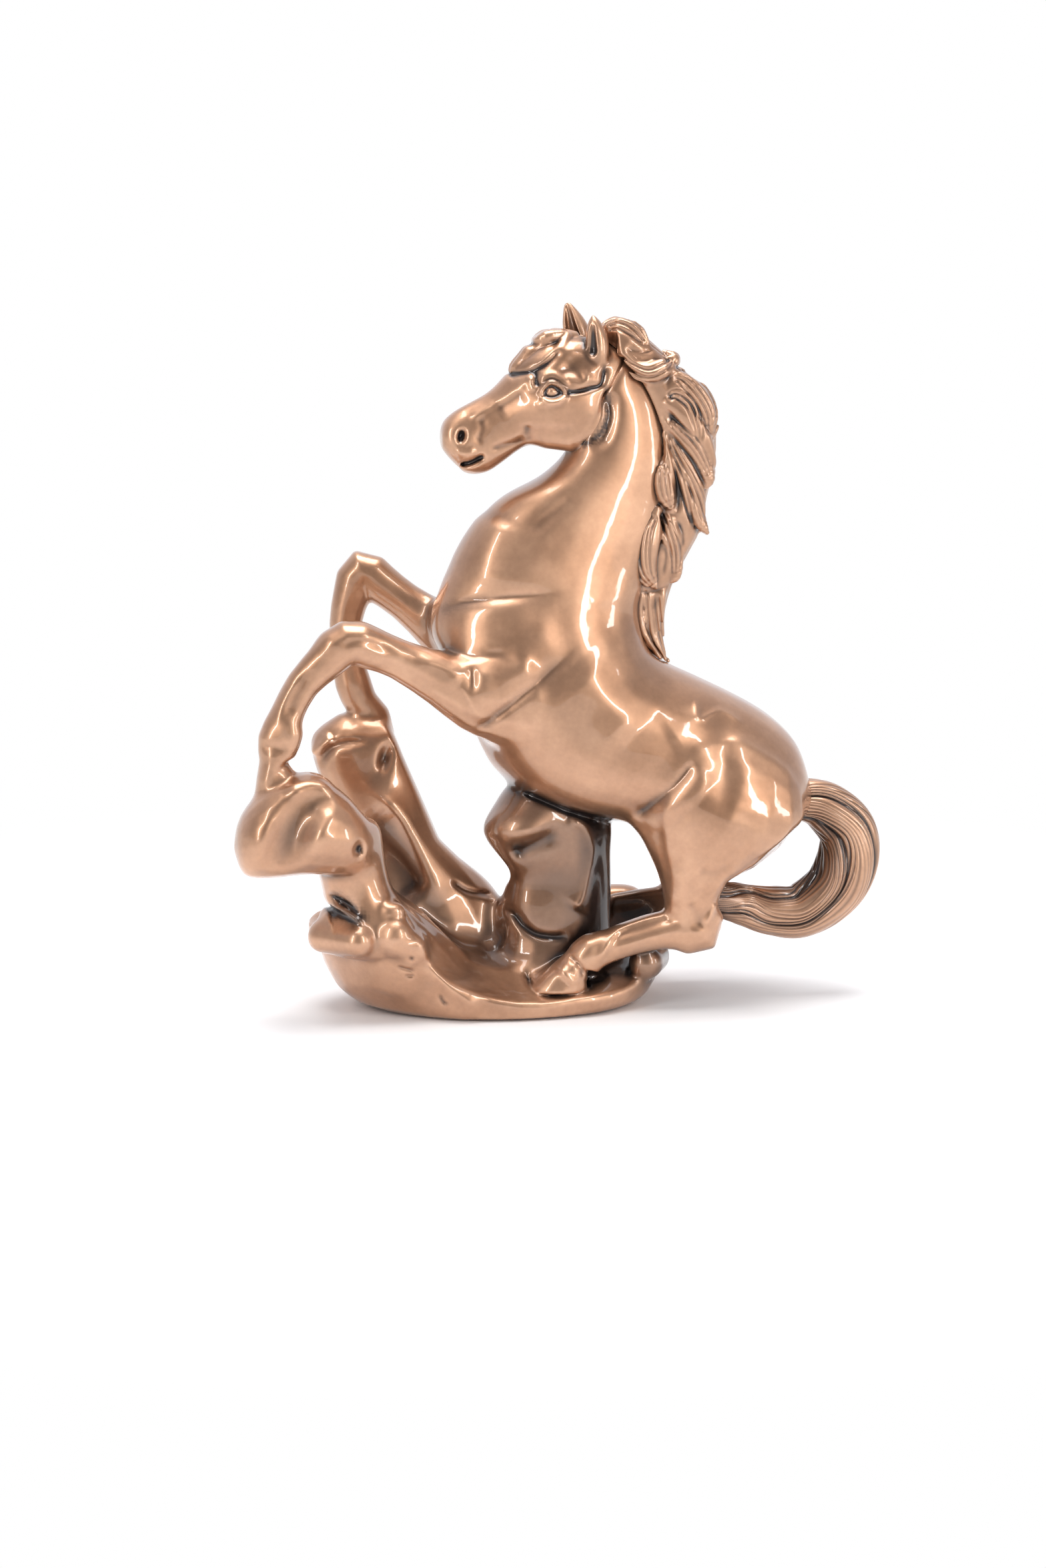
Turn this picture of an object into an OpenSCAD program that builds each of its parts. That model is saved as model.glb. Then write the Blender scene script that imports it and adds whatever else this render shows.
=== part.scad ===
// Rearing horse ornament on a rock-and-wave base: cold-cast resin pieces, doweled and glued together.
// Millimetres. The horse faces -X, its left (near) side is at -Y, +Z is up.
// The origin is the middle of the felt's underside.

/* [Base] */
// length of the plinth's footprint, left to right
base_length = 54; // [50:1:60]
// depth of the plinth's footprint, front to back
base_depth = 38; // [36:1:42]
// height of the plinth's rim on its high far side
rim_height = 19; // [15:0.5:22]
// height of the plinth's floor inside the rim
floor_height = 6.5; // [6:0.25:8]
// how far the rim overhangs the footprint on the wave side
rim_overhang = 14.5; // [12:0.5:17]
// thickness of the felt pad
felt_thickness = 1; // [0.8:0.1:1.6]
// depth of the felt's pocket in the plinth
felt_pocket = 0.6; // [0.4:0.1:0.8]
// width of the plinth's bare edge around the felt
felt_margin = 3; // [2:0.25:5]
// width of the support rock under the belly
rock_width = 21; // [18:0.5:24]
// depth of the support rock, front to back
rock_depth = 13; // [11:0.5:14]
// width of the near wave's crest
near_crest_width = 26; // [23:0.5:29]
// width of the far wave's crest
far_crest_width = 20; // [17:0.5:23]
// thickness of the waves, front to back
wave_thickness = 15; // [13:0.5:17]

/* [Body] */
// length of the torso from the buttock to the chest
body_length = 90; // [85:1:95]
// depth of the barrel behind the elbow
barrel_depth = 37; // [34:0.5:40]
// width of the barrel
barrel_width = 35; // [32:0.5:38]
// length of the neck from the collar crease to the poll
neck_length = 52; // [48:1:56]
// depth of the neck at the collar crease
neck_depth = 40; // [37:0.5:43]
// width of the neck at the collar crease
neck_width = 24; // [22:0.5:26]
// length of the head from the jaw seam to the muzzle
head_length = 34; // [31:0.5:37]
// depth of the head at the cheek
head_depth = 20; // [18:0.5:22]
// width of the head at the cheeks
head_width = 15; // [13:0.5:17]
// length of each ear above the skull
ear_length = 7.2; // [5:0.2:8]
// height of the mane's locks above the crest
mane_height = 10; // [8:0.5:12]
// width of the mane across the crest
mane_width = 15; // [13:0.5:17]
// length of the forelock on the brow
forelock_length = 13; // [11:0.5:15]
// thickness of the tail where it is fullest
tail_thickness = 13; // [11:0.2:14.4]
// reach of the tail's curl behind the dock
tail_reach = 13.4; // [12:0.2:15]

/* [Legs] */
// distance between the centre lines of the hind hooves
hind_stance = 24; // [23:0.5:26]
// distance between the centre lines of the fore hooves
fore_stance = 26; // [24:0.5:28]
// length from the hip to the hock
thigh_length = 31.6; // [30:0.2:34]
// length of the hind cannon from hock to fetlock
hind_cannon_length = 21.2; // [19:0.2:23]
// length from the hind fetlock to the middle of the sole
hind_pastern_length = 10.8; // [10:0.2:12]
// length from the shoulder to the knee
forearm_length = 36.5; // [34:0.5:39]
// length of the fore cannon from knee to fetlock
fore_cannon_length = 23.3; // [21:0.2:25]
// length from the fore fetlock to the middle of the sole
fore_pastern_length = 10; // [9:0.2:11]
// thickness of the cannons
cannon_thickness = 7; // [6:0.1:8]
// length of a hind hoof's sole
hoof_length = 12.4; // [11:0.2:14]
// length of a fore hoof's sole
fore_hoof_length = 10; // [9:0.2:11]

/* [Dowels] */
// diameter of the dowels in the torso, neck, rock and waves
dowel_diameter = 3; // [2.5:0.1:3.4]
// diameter of the dowels in the legs, head, tail and hooves
thin_dowel_diameter = 2; // [1.6:0.1:2.4]
// length of the thick dowels
dowel_length = 14; // [12:0.5:16]
// length of the thin dowels
thin_dowel_length = 8; // [7:0.25:9]
// clearance of each dowel in its bore, on the diameter
dowel_slip = 0.1; // [0.06:0.02:0.2]
// clearance left around the hooves and the felt for glue
glue_gap = 0.3; // [0.2:0.05:0.4]

/* [Hidden] */

bronze = "#a9795a";
dark_bronze = "#5b4234";
steel = "#b9bcc0";
felt_green = "#2f4a3c";

// facets around the round dowels
dowel_facets = 36;
// facets around the body, the limbs and the rocks, and steps between two stations
body_sides = 24;
limb_sides = 14;
rock_sides = 18;
tail_sides = 30;
lock_sides = 8;
body_steps = 3;
limb_steps = 2;
rock_steps = 3;

// unit directions in the side view, angle measured from +X towards +Z
function along(angle) = [cos(angle), 0, sin(angle)];

// a point between two others
function between(a, b, t) = a + (b - a) * t;

// one place on a smooth curve through rows of numbers
function smooth_row(rows, i, t) =
    let (last = len(rows) - 1)
    let (a = rows[max(i - 1, 0)], b = rows[i], c = rows[i + 1], d = rows[min(i + 2, last)])
    b + t * ((c - a) / 2 + t * ((a * 2 - b * 5 + c * 4 - d) / 2 + t * ((b - c) * 3 + d - a) / 2));

// the same curve as a finer list of rows
function smooth_rows(rows, steps) =
    [for (i = [0 : len(rows) - 2], k = [0 : steps - 1]) smooth_row(rows, i, k / steps), rows[len(rows) - 1]];

// a sine or cosine squared off a little, for sections fuller than an ellipse
function fuller(v) = sign(v) * pow(abs(v), 0.9);

// a closed section: row is its centre, its upper half-height and its half-width as vectors, and its taper
function section(row, sides) =
    let (middle = [row[0], row[1], row[2]], upper = [row[3], row[4], row[5]], side = [row[6], row[7], row[8]])
    [for (k = [0 : sides - 1])
        let (s = fuller(sin(360 * k / sides)), c = fuller(cos(360 * k / sides)))
        middle + s * upper + c * (1 + row[9] * s) * side];

// a closed skin over sections that have the same number of points
module skin(sections) {
    sides = len(sections[0]);
    last = len(sections) - 1;
    corners = [for (ring = sections) each ring];
    walls = [for (i = [0 : last - 1], k = [0 : sides - 1])
        let (a = i * sides + k, b = i * sides + (k + 1) % sides)
        each [[a, a + sides, b], [b, a + sides, b + sides]]];
    first_cap = [[for (k = [0 : sides - 1]) k]];
    last_cap = [[for (k = [sides - 1 : -1 : 0]) last * sides + k]];
    polyhedron(corners, concat(first_cap, walls, last_cap));
}

// section rows from a side profile: upper point, lower point, half-width and taper in each profile row,
// as shares of a length along the axis, a depth across it and a width
function profile_rows(profile, origin, axis, across, size) = [for (p = profile)
    let (high = origin + axis * p[0] * size[0] + across * p[1] * size[1])
    let (low = origin + axis * p[2] * size[0] + across * p[3] * size[1])
    concat((high + low) / 2, (high - low) / 2, [0, -p[4] * size[2], 0], [p[5]])];

// section rows square to a path of rows: place, half-depth in the side view and half-width
function path_rows(path, grow) = [for (i = [0 : len(path) - 1])
    let (from = path[max(i - 1, 0)], to = path[min(i + 1, len(path) - 1)], here = path[i])
    let (step = [to[0] - from[0], to[1] - from[1], to[2] - from[2]])
    let (heading = step / norm(step))
    let (flat = [heading[2], 0, -heading[0]])
    let (depth_way = flat / norm(flat), width_way = cross(depth_way, heading))
    [here[0], here[1], here[2], each depth_way * (here[3] + grow), each width_way * (here[4] + grow), 0]];

module loft(rows, sides, steps) {
    skin([for (row = smooth_rows(rows, steps)) section(row, sides)]);
}

module limb(path, hoof = [], grow = 0) {
    shaft = path_rows(smooth_rows(path, limb_steps), grow);
    foot = [for (h = hoof)
        concat(h[0], h[1] + h[1] / norm(h[1]) * grow, h[2] + h[2] / norm(h[2]) * grow, [0])];
    skin([for (row = concat(shaft, foot)) section(row, limb_sides)]);
}

// a round dowel centred on a place and pointing along a direction
module dowel(place, way, length, diameter) {
    unit = way / norm(way);
    translate(place)
        rotate([0, acos(unit[2]), atan2(unit[1], unit[0])])
            cylinder(h = length, d = diameter, center = true, $fn = dowel_facets);
}

// Where the horse stands. The near hind hoof is planted on the plinth; everything else follows from it.
near_sole = [7.4, -hind_stance / 2, 5];
near_fetlock = near_sole + hind_pastern_length * along(46.5);
near_hock = near_fetlock + hind_cannon_length * along(14);
near_hip = near_hock + thigh_length * along(62.6);
hip = [near_hip[0], 0, near_hip[2]];
far_hip = hip + [0, hind_stance / 2, 0];
far_hock = far_hip - thigh_length * along(74);
far_fetlock = far_hock - hind_cannon_length * along(11);
far_sole = far_fetlock - hind_pastern_length * along(46.5);

// the torso's axis points from the hip up to the chest
torso_way = along(147);
torso_up = along(57);
torso_size = [body_length, barrel_depth, barrel_width];

// torso: topline along and up, underline along and up, half-width, taper towards the underline
torso_profile = [
    [-0.135, 0.12, -0.155, -0.11, 0.14, 0],
    [-0.095, 0.22, -0.13, -0.3, 0.34, 0],
    [-0.03, 0.33, -0.05, -0.45, 0.44, 0],
    [0.06, 0.37, 0.06, -0.52, 0.48, 0],
    [0.17, 0.355, 0.17, -0.55, 0.485, -0.04],
    [0.265, 0.325, 0.28, -0.665, 0.5, -0.08],
    [0.325, 0.305, 0.395, -0.735, 0.5, -0.1],
    [0.37, 0.315, 0.5, -0.715, 0.485, -0.1],
    [0.4, 0.355, 0.605, -0.585, 0.47, -0.08],
    [0.42, 0.4, 0.715, -0.41, 0.44, -0.06],
    [0.445, 0.48, 0.815, -0.27, 0.4, -0.05],
    [0.46, 0.585, 0.85, -0.115, 0.375, -0.05]];
torso_rows = profile_rows(torso_profile, hip, torso_way, torso_up, torso_size);
collar_row = torso_rows[len(torso_rows) - 1];

// the neck rises from the collar crease, where the torso ends
collar = [collar_row[0], 0, collar_row[2]];
collar_way = cross([collar_row[3], 0, collar_row[5]], [0, 1, 0]);
neck_way = along(71);
neck_across = along(-19);
neck_size = [neck_length, neck_depth, neck_width];

// neck: crest along and across, throat along and across, half-width, taper towards the throat
neck_profile = [
    [0.23, 0.5, 0.06, -0.48, 0.49, -0.1],
    [0.385, 0.5, 0.2, -0.43, 0.435, -0.14],
    [0.54, 0.475, 0.325, -0.345, 0.385, -0.16],
    [0.675, 0.43, 0.435, -0.205, 0.345, -0.14],
    [0.81, 0.34, 0.525, -0.13, 0.315, -0.1],
    [0.935, 0.21, 0.565, -0.11, 0.295, -0.04],
    [1.03, 0.01, 0.585, -0.095, 0.285, 0]];
neck_rows = concat([collar_row], profile_rows(neck_profile, collar, neck_way, neck_across, neck_size));
jaw_row = neck_rows[len(neck_rows) - 1];

// the head hangs from the jaw seam, where the neck ends
jaw = [jaw_row[0], 0, jaw_row[2]];
jaw_way = cross([jaw_row[3], 0, jaw_row[5]], [0, 1, 0]);
head_way = along(200);
head_up = along(110);
head_size = [head_length, head_depth, head_width];

// head: brow line along and up, jaw line along and up, half-width, taper towards the jaw
head_profile = [
    [-0.04, 0.655, 0.33, -0.325, 0.485, 0],
    [0.135, 0.725, 0.41, -0.265, 0.5, 0],
    [0.3, 0.68, 0.49, -0.2, 0.465, 0],
    [0.445, 0.58, 0.57, -0.215, 0.4, 0],
    [0.595, 0.46, 0.67, -0.265, 0.335, 0],
    [0.73, 0.42, 0.785, -0.305, 0.31, 0],
    [0.83, 0.395, 0.895, -0.24, 0.315, 0],
    [0.915, 0.34, 0.96, -0.045, 0.28, 0],
    [0.955, 0.255, 0.985, 0.09, 0.165, 0]];
head_rows = concat([jaw_row], profile_rows(head_profile, jaw, head_way, head_up, head_size));

// a place on the head: share along it, share up it, and a share of its width to one side
function on_head(l, u, w) =
    jaw + head_way * l * head_length + head_up * u * head_depth + [0, w * head_width, 0];

// each ear is a leaf from inside the skull to its tip, rooted this deep
ear_root = 3.5;
function ear_path(side) =
    let (root = side < 0 ? on_head(-0.1, 0.36, -0.27) : on_head(-0.03, 0.46, 0.27))
    let (way = along(side < 0 ? 95 : 108), lean = [0, side * 0.16, 0])
    [for (e = [[0, 2.2, 2.2], [0.35, 2.7, 2.1], [0.65, 2.2, 1.6], [1, 0.6, 0.4]])
        concat(root + (way + lean) * (e[0] * (ear_length + ear_root)), [e[1], e[2]])];

// the forelock lies on the brow: share of its length, share up the head, half-depth and half-width
forelock_stations = [[-0.03, 0.64, 1.4, 2], [0.3, 0.73, 2, 3], [0.62, 0.72, 1.8, 2.6], [1, 0.6, 0.5, 0.7]];
forelock_path = [for (f = forelock_stations)
    concat(on_head(f[0] * forelock_length / head_length, f[1], 0), [f[2], f[3]])];

// mane: outer edge along and beyond the crest, inner edge along and across, half-width
mane_profile = [
    [-0.16, 0.35, -0.14, 0.55, 0.1],
    [0.06, 0.5, 0.06, 0.47, 0.27],
    [0.24, 0.68, 0.21, 0.4, 0.37],
    [0.42, 0.9, 0.385, 0.39, 0.42],
    [0.6, 0.84, 0.54, 0.36, 0.45],
    [0.77, 1, 0.655, 0.3, 0.48],
    [0.92, 1.1, 0.77, 0.2, 0.5],
    [1.03, 0.75, 0.865, 0.1, 0.5],
    [1.1, 0.52, 0.925, 0, 0.47],
    [1.125, 0.42, 0.96, -0.1, 0.4],
    [1.085, 0.2, 0.97, -0.175, 0.2]];
// how far across the neck the crest stands beside each mane station
mane_crest = [0.64, 0.54, 0.48, 0.47, 0.46, 0.39, 0.27, 0.12, -0.03, -0.15, -0.2];
mane_rows = [for (i = [0 : len(mane_profile) - 1])
    let (m = mane_profile[i])
    let (outer = collar + neck_way * m[0] * neck_length
        + neck_across * (mane_crest[i] * neck_depth + m[1] * mane_height))
    let (inner = collar + neck_way * m[2] * neck_length + neck_across * m[3] * neck_depth)
    concat((outer + inner) / 2, (outer - inner) / 2, [0, -m[4] * mane_width, 0], [0])];

// under its locks the mane is this share as deep and as wide
mane_core_depth = 0.93;
mane_core_width = 0.84;
mane_core_rows = [for (row = mane_rows)
    let (out = [row[3], 0, row[5]] * mane_core_depth, side = [0, row[7], 0] * mane_core_width)
    concat([row[0], 0, row[2]], out, side, [0])];
// the mane's main locks from root to tip: station along the mane from the withers, share out from its middle,
// share of its half-width to the side, and half-width as a share of the mane's width
mane_locks = [
    [[9.7, 0.3, 0.5, 0.09], [9.1, 0.65, 0.6, 0.17], [8.3, 0.65, 0.65, 0.17], [7.8, 0.6, 0.6, 0.05]],
    [[8.7, 0, 0.9, 0.06], [7.9, -0.45, 0.95, 0.12], [7.35, -0.2, 1, 0.16], [7.2, 0.4, 0.95, 0.17],
        [7.1, 0.8, 0.6, 0.06]],
    [[7.4, 0.3, 0.8, 0.1], [6.7, 0.55, 0.75, 0.19], [6.1, 0.62, 0.65, 0.21], [5.6, 0.62, 0.65, 0.18],
        [5.2, 0.6, 0.7, 0.05]],
    [[6.5, -0.2, 0.95, 0.06], [6, 0.1, 1, 0.16], [5.35, 0.35, 0.95, 0.18], [4.7, 0.65, 0.7, 0.13],
        [4.3, 0.9, 0.3, 0.06]],
    [[5.6, -0.4, 0.95, 0.05], [4.7, -0.5, 0.95, 0.13], [3.7, -0.3, 0.95, 0.04]],
    [[5.2, -0.2, 0.95, 0.05], [4.2, 0.25, 0.95, 0.15], [3.5, 0.7, 0.65, 0.13], [3.1, 1.1, 0.1, 0.04]],
    [[3.5, -0.7, 0.95, 0.06], [2.95, -0.8, 1.05, 0.16], [2.4, -0.7, 1.1, 0.18], [1.8, -0.2, 1, 0.05]],
    [[3.4, -0.3, 0.95, 0.05], [2.8, 0, 0.95, 0.14], [2.1, 0.75, 0.5, 0.06]],
    [[1.7, -0.3, 0.95, 0.05], [0.95, 0, 0.95, 0.11], [0.4, 0.5, 0.6, 0.04]],
    [[1.9, 0.4, 0.8, 0.05], [1.1, 0.45, 0.8, 0.12], [0.2, 0.6, 0.3, 0.05]]];
// how thick a lock is beside its width
lock_thickness = 0.55;

// a place on the mane: station along it, share out from its middle, share of its half-width to one side
function on_mane(station, out, share) =
    let (i = min(floor(station), len(mane_rows) - 2), row = smooth_row(mane_rows, i, station - i))
    [row[0] + out * row[3], -share * row[7], row[2] + out * row[5]];
function lock_path(lock, side) = [for (s = lock)
    concat(on_mane(s[0], s[1], side * s[2] * mane_core_width), [s[3], s[3] * lock_thickness] * mane_width)];

// the tail curls down from the dock to the near hock
dock = hip + torso_way * (-0.12 * body_length) + torso_up * (0.02 * barrel_depth);
tail_tip = near_hock + [6.5, hind_stance / 2 - 4.5, 4.5];
// tail: share of the reach behind the dock, share of the drop to the tip, thickness share
tail_curl = [
    [-0.25, 0, 0.3],
    [0.2, -0.03, 0.36],
    [0.54, 0.07, 0.42],
    [0.84, 0.33, 0.48],
    [0.86, 0.67, 0.51],
    [0.62, 1.01, 0.5],
    [0.1, 1.24, 0.45]];
tail_drop = dock[2] - tail_tip[2];
tail_path = concat(
    [for (t = tail_curl) concat(dock + [t[0] * tail_reach, -2 * t[1], -t[1] * tail_drop],
        [t[2] * tail_thickness, t[2] * tail_thickness])],
    [concat(between(dock, tail_tip, 0.62) + [0, 0, -0.55 * tail_drop], [1, 1] * 0.34 * tail_thickness),
        concat(between(dock, tail_tip, 0.82) + [0, 0, -0.25 * tail_drop], [1, 1] * 0.27 * tail_thickness),
        concat(tail_tip, [1, 1] * 0.2 * tail_thickness)]);
// the tail's locks wind along it, with a valley between each two
tail_locks = 5;
tail_valley = 0.13;
tail_twist = 130;

function tail_section(row, share) =
    let (middle = [row[0], row[1], row[2]], upper = [row[3], row[4], row[5]], side = [row[6], row[7], row[8]])
    [for (k = [0 : tail_sides - 1])
        let (turn = 360 * k / tail_sides)
        let (valley = pow(1 - abs(sin(tail_locks / 2 * (turn + tail_twist * share))), 2))
        middle + (1 - tail_valley * valley) * (sin(turn) * upper + cos(turn) * side)];

// the fore hooves paw the air above the waves
shoulder = hip + torso_way * (0.604 * body_length) + torso_up * (-0.22 * barrel_depth);
near_shoulder = shoulder + [0, -0.26 * barrel_width, 0];
far_shoulder = shoulder + [0, 0.26 * barrel_width, 0];
near_knee = [shoulder[0], -fore_stance / 2, shoulder[2]] + forearm_length * along(166.5);
near_fore_fetlock = near_knee + fore_cannon_length * along(233);
near_fore_sole = near_fore_fetlock + fore_pastern_length * along(268);
far_knee = [shoulder[0], fore_stance / 2, shoulder[2]] + forearm_length * along(145.5);
far_fore_fetlock = far_knee + fore_cannon_length * along(266);
far_fore_sole = far_fore_fetlock + fore_pastern_length * along(286);

// limb stations: which bone, share along it, shift across it, half-depth and half-width in cannon halves
// sag is how much of the upper bone's shift a limb takes
fore_stations = [
    [0, -0.08, -2.4, 2.7, 2],
    [0, 0.1, -3.4, 2.75, 2.1],
    [0, 0.26, -3.4, 2.35, 1.85],
    [0, 0.46, -2.4, 1.58, 1.5],
    [0, 0.7, -0.4, 1.18, 1.2],
    [0, 0.87, 0.7, 1.25, 1.22],
    [0, 1, 0.8, 1.32, 1.25],
    [1, 0.2, 1.6, 1.15, 1.08],
    [1, 0.48, 2.6, 0.98, 0.93],
    [1, 0.78, 1.6, 0.96, 0.92],
    [1, 1, 0.3, 1.1, 1.08],
    [2, 0.38, 0, 1.05, 1.08]];
hind_stations = [
    [0, -0.24, 5, 2, 0.5],
    [0, -0.1, 5.5, 3.6, 1.5],
    [0, 0.06, 5.7, 4.5, 2.1],
    [0, 0.26, 5, 4.75, 2.4],
    [0, 0.48, 4.8, 3.7, 2.2],
    [0, 0.67, 3.7, 2.4, 1.8],
    [0, 0.8, 2.9, 1.8, 1.5],
    [0, 0.91, 1.3, 1.7, 1.32],
    [0, 1, -0.6, 1.9, 1.25],
    [1, 0.2, 0.2, 1.25, 1.1],
    [1, 0.45, 0.5, 1.02, 1],
    [1, 0.75, 0.3, 0.97, 0.97],
    [1, 1, 0, 1.1, 1.08],
    [2, 0.3, 0, 1.12, 1.12]];

// a limb's path from its joints and its stations
function limb_path(joints, stations, sag = 1) = [for (s = stations)
    let (a = joints[s[0]], b = joints[s[0] + 1], bone = (b - a) / norm(b - a))
    let (shift = s[0] == 0 ? s[2] * sag : s[2])
    concat(between(a, b, s[1]) + [bone[2], 0, -bone[0]] * shift, [s[3], s[4]] * cannon_thickness / 2)];

// a hoof from its coronet down to its sole: each section's middle, half-length towards the toe and half-width
function hoof(sole, toe, length, height, heel) =
    let (up = cross([0, 1, 0], toe))
    [[sole + up * height - toe * heel, (toe - up * 0.25) * length * 0.4, [0, -0.37 * length, 0]],
        [sole + up * height * 0.3 - toe * heel * 0.3, toe * length * 0.48, [0, -0.41 * length, 0]],
        [sole, toe * length / 2, [0, -0.43 * length, 0]]];

near_fore_path = limb_path([near_shoulder, near_knee, near_fore_fetlock, near_fore_sole], fore_stations);
far_fore_path = limb_path([far_shoulder, far_knee, far_fore_fetlock, far_fore_sole], fore_stations, 0.25);
near_hind_path = limb_path([near_hip, near_hock, near_fetlock, near_sole], hind_stations);
far_hind_path = limb_path([far_hip, far_hock, far_fetlock, far_sole], hind_stations);
near_fore_toe = along(207);
far_fore_toe = along(173);
hind_toe = along(180);
hind_hoof_height = 4.6;
fore_hoof_height = 3.4;
near_fore_hoof = hoof(near_fore_sole, near_fore_toe, fore_hoof_length, fore_hoof_height, 0.4);
far_fore_hoof = hoof(far_fore_sole, far_fore_toe, fore_hoof_length, fore_hoof_height, 0);
near_hind_hoof = hoof(near_sole, hind_toe, hoof_length, hind_hoof_height, 1.6);
far_hind_hoof = hoof(far_sole, hind_toe, hoof_length, hind_hoof_height, 1.6);

// the plinth is a shallow bowl: rim height around it, from the right end past the far side, in equal turns
plinth_bottom = felt_thickness - felt_pocket;
rim_shares = [0.6, 0.5, 1, 1.06, 1.06, 1.06, 1.04, 1.02, 0.96, 0.96, 0.9, 0.42, 0.2, 0.22, 0.26, 0.42];
base_middle = [-1.5, 0.8, 0];
rim_turns = 48;
// how far the rim overhangs the footprint at the right end, in front and behind
end_overhang = 5.5;
near_overhang = 0.5;
far_overhang = 2.5;
// height of the floor in the middle
floor_middle = floor_height + 2.5;

function rim_share(k) =
    let (place = k * len(rim_shares) / rim_turns, i = floor(place))
    let (ring = [for (j = [-1 : 2]) rim_shares[(i + j + len(rim_shares)) % len(rim_shares)]])
    smooth_row(ring, 1, place - i);

// the footprint and the rim, seen from above
function foot_point(k) =
    let (c = cos(360 * k / rim_turns), s = sin(360 * k / rim_turns))
    base_middle + [c * base_length / 2, s * base_depth / 2, plinth_bottom];
function rim_point(k) =
    let (c = fuller(cos(360 * k / rim_turns)), s = fuller(sin(360 * k / rim_turns)))
    let (wide = base_length / 2 + (c < 0 ? -c * rim_overhang : c * end_overhang))
    let (deep = base_depth / 2 + (s < 0 ? near_overhang : far_overhang))
    base_middle + [c * wide, s * deep, rim_height * rim_share(k)];

// the felt's outline, this far inside the footprint
function felt_outline(inset) = [for (k = [0 : rim_turns - 1])
    let (c = cos(360 * k / rim_turns), s = sin(360 * k / rim_turns))
    [base_middle[0] + c * (base_length / 2 - inset), base_middle[1] + s * (base_depth / 2 - inset)]];

// one level of the plinth's outer wall, and one ring of its floor, which slopes up evenly on the wave side
// and stays hollow at the other end
function wall_ring(t) = [for (k = [0 : rim_turns - 1])
    let (foot = foot_point(k), rim = rim_point(k), out = pow(sin(90 * t), 0.75), up = pow(t, 1.4))
    [between(foot, rim, out)[0], between(foot, rim, out)[1], between(foot, rim, up)[2]]];
function floor_ring(t) = [for (k = [0 : rim_turns - 1])
    let (rim = rim_point(k))
    [between(base_middle, rim, t)[0], between(base_middle, rim, t)[1],
        floor_middle + (rim[2] - floor_middle) * pow(t, 1.8 + 0.6 * cos(360 * k / rim_turns))]];

// the ridge on the rim behind the far hind leg: place along it, height share of the rim, half-thickness
ridge_stations = [[8, 0.68, 3], [15, 0.74, 5.2], [23, 0.78, 5.6], [29, 0.78, 5], [32.5, 0.76, 2]];
ridge_rows = [for (r = ridge_stations)
    [r[0], base_middle[1] + base_depth / 2 - 1, r[1] * rim_height, 0, 0, r[2], 0, r[2] * 0.85, 0, 0]];

// waves: height share, drift from foot to crest, half-width and half-thickness shares
near_wave_foot = [-21, -6.5, 6];
far_wave_foot = [-14, 11, 6];
near_wave_stations = [
    [0, 0.17, 0.4, 0.45],
    [0.14, 0.24, 0.46, 0.6],
    [0.31, 0.33, 0.42, 0.62],
    [0.48, 0.43, 0.28, 0.5],
    [0.66, 0.49, 0.28, 0.46],
    [0.83, 0.52, 0.28, 0.44]];
far_wave_stations = [
    [0, 0, 0.66, 0.46],
    [0.15, 0.05, 0.74, 0.6],
    [0.32, 0.25, 0.65, 0.58],
    [0.51, 0.6, 0.5, 0.5],
    [0.72, 0.89, 0.52, 0.45],
    [0.88, 1.09, 0.51, 0.45],
    [0.98, 1.12, 0.48, 0.4],
    [1.06, 1.1, 0.22, 0.2]];
// the near wave's crest lies across its stem: share of the width from the sole, drop, half-height share
near_crest_stations = [
    [-0.33, -11.8, 0.05],
    [-0.27, -11.2, 0.45],
    [-0.09, -8.8, 0.71],
    [0.24, -7, 0.8],
    [0.48, -9, 0.68],
    [0.66, -11.2, 0.46],
    [0.77, -12.2, 0.1]];

function wave_rows(stations, foot, crest, width) = [for (w = stations)
    let (place = between(foot, crest, w[1]), height = between(foot, crest, w[0])[2])
    [place[0], place[1], height, 0, w[3] * wave_thickness, 0, w[2] * width, 0, 0, 0]];
near_wave_rows = wave_rows(near_wave_stations, near_wave_foot, near_fore_sole, near_crest_width);
far_wave_rows = wave_rows(far_wave_stations, far_wave_foot, far_fore_sole, far_crest_width);
near_crest_rows = [for (c = near_crest_stations)
    let (half = c[2] * near_crest_width / 2)
    concat(near_fore_sole + [c[0] * near_crest_width, -1, c[1]], [0, 0, half], [0, half * 0.85, 0], [0])];

// the support rock stands between the plinth's floor and the belly
rock_middle = [9.2, 0.3, 0];
belly_height = hip[2] + 3;
// rock: height share, sideways drift, width share, depth share
rock_stations = [
    [0.06, 0.5, 0.52, 0.5],
    [0.28, 0.4, 0.5, 0.49],
    [0.45, 0.6, 0.5, 0.48],
    [0.56, 1.2, 0.47, 0.5],
    [0.65, -0.2, 0.53, 0.58],
    [0.745, -1.3, 0.6, 0.63],
    [0.83, -0.4, 0.56, 0.64],
    [0.93, 1.2, 0.48, 0.6],
    [1.02, 2, 0.4, 0.5]];
rock_rows = [for (r = rock_stations)
    let (place = rock_middle + [r[1], 0, r[0] * belly_height])
    concat(place, [0, r[3] * rock_depth, 0], [r[2] * rock_width, 0, 0], [0])];

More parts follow.
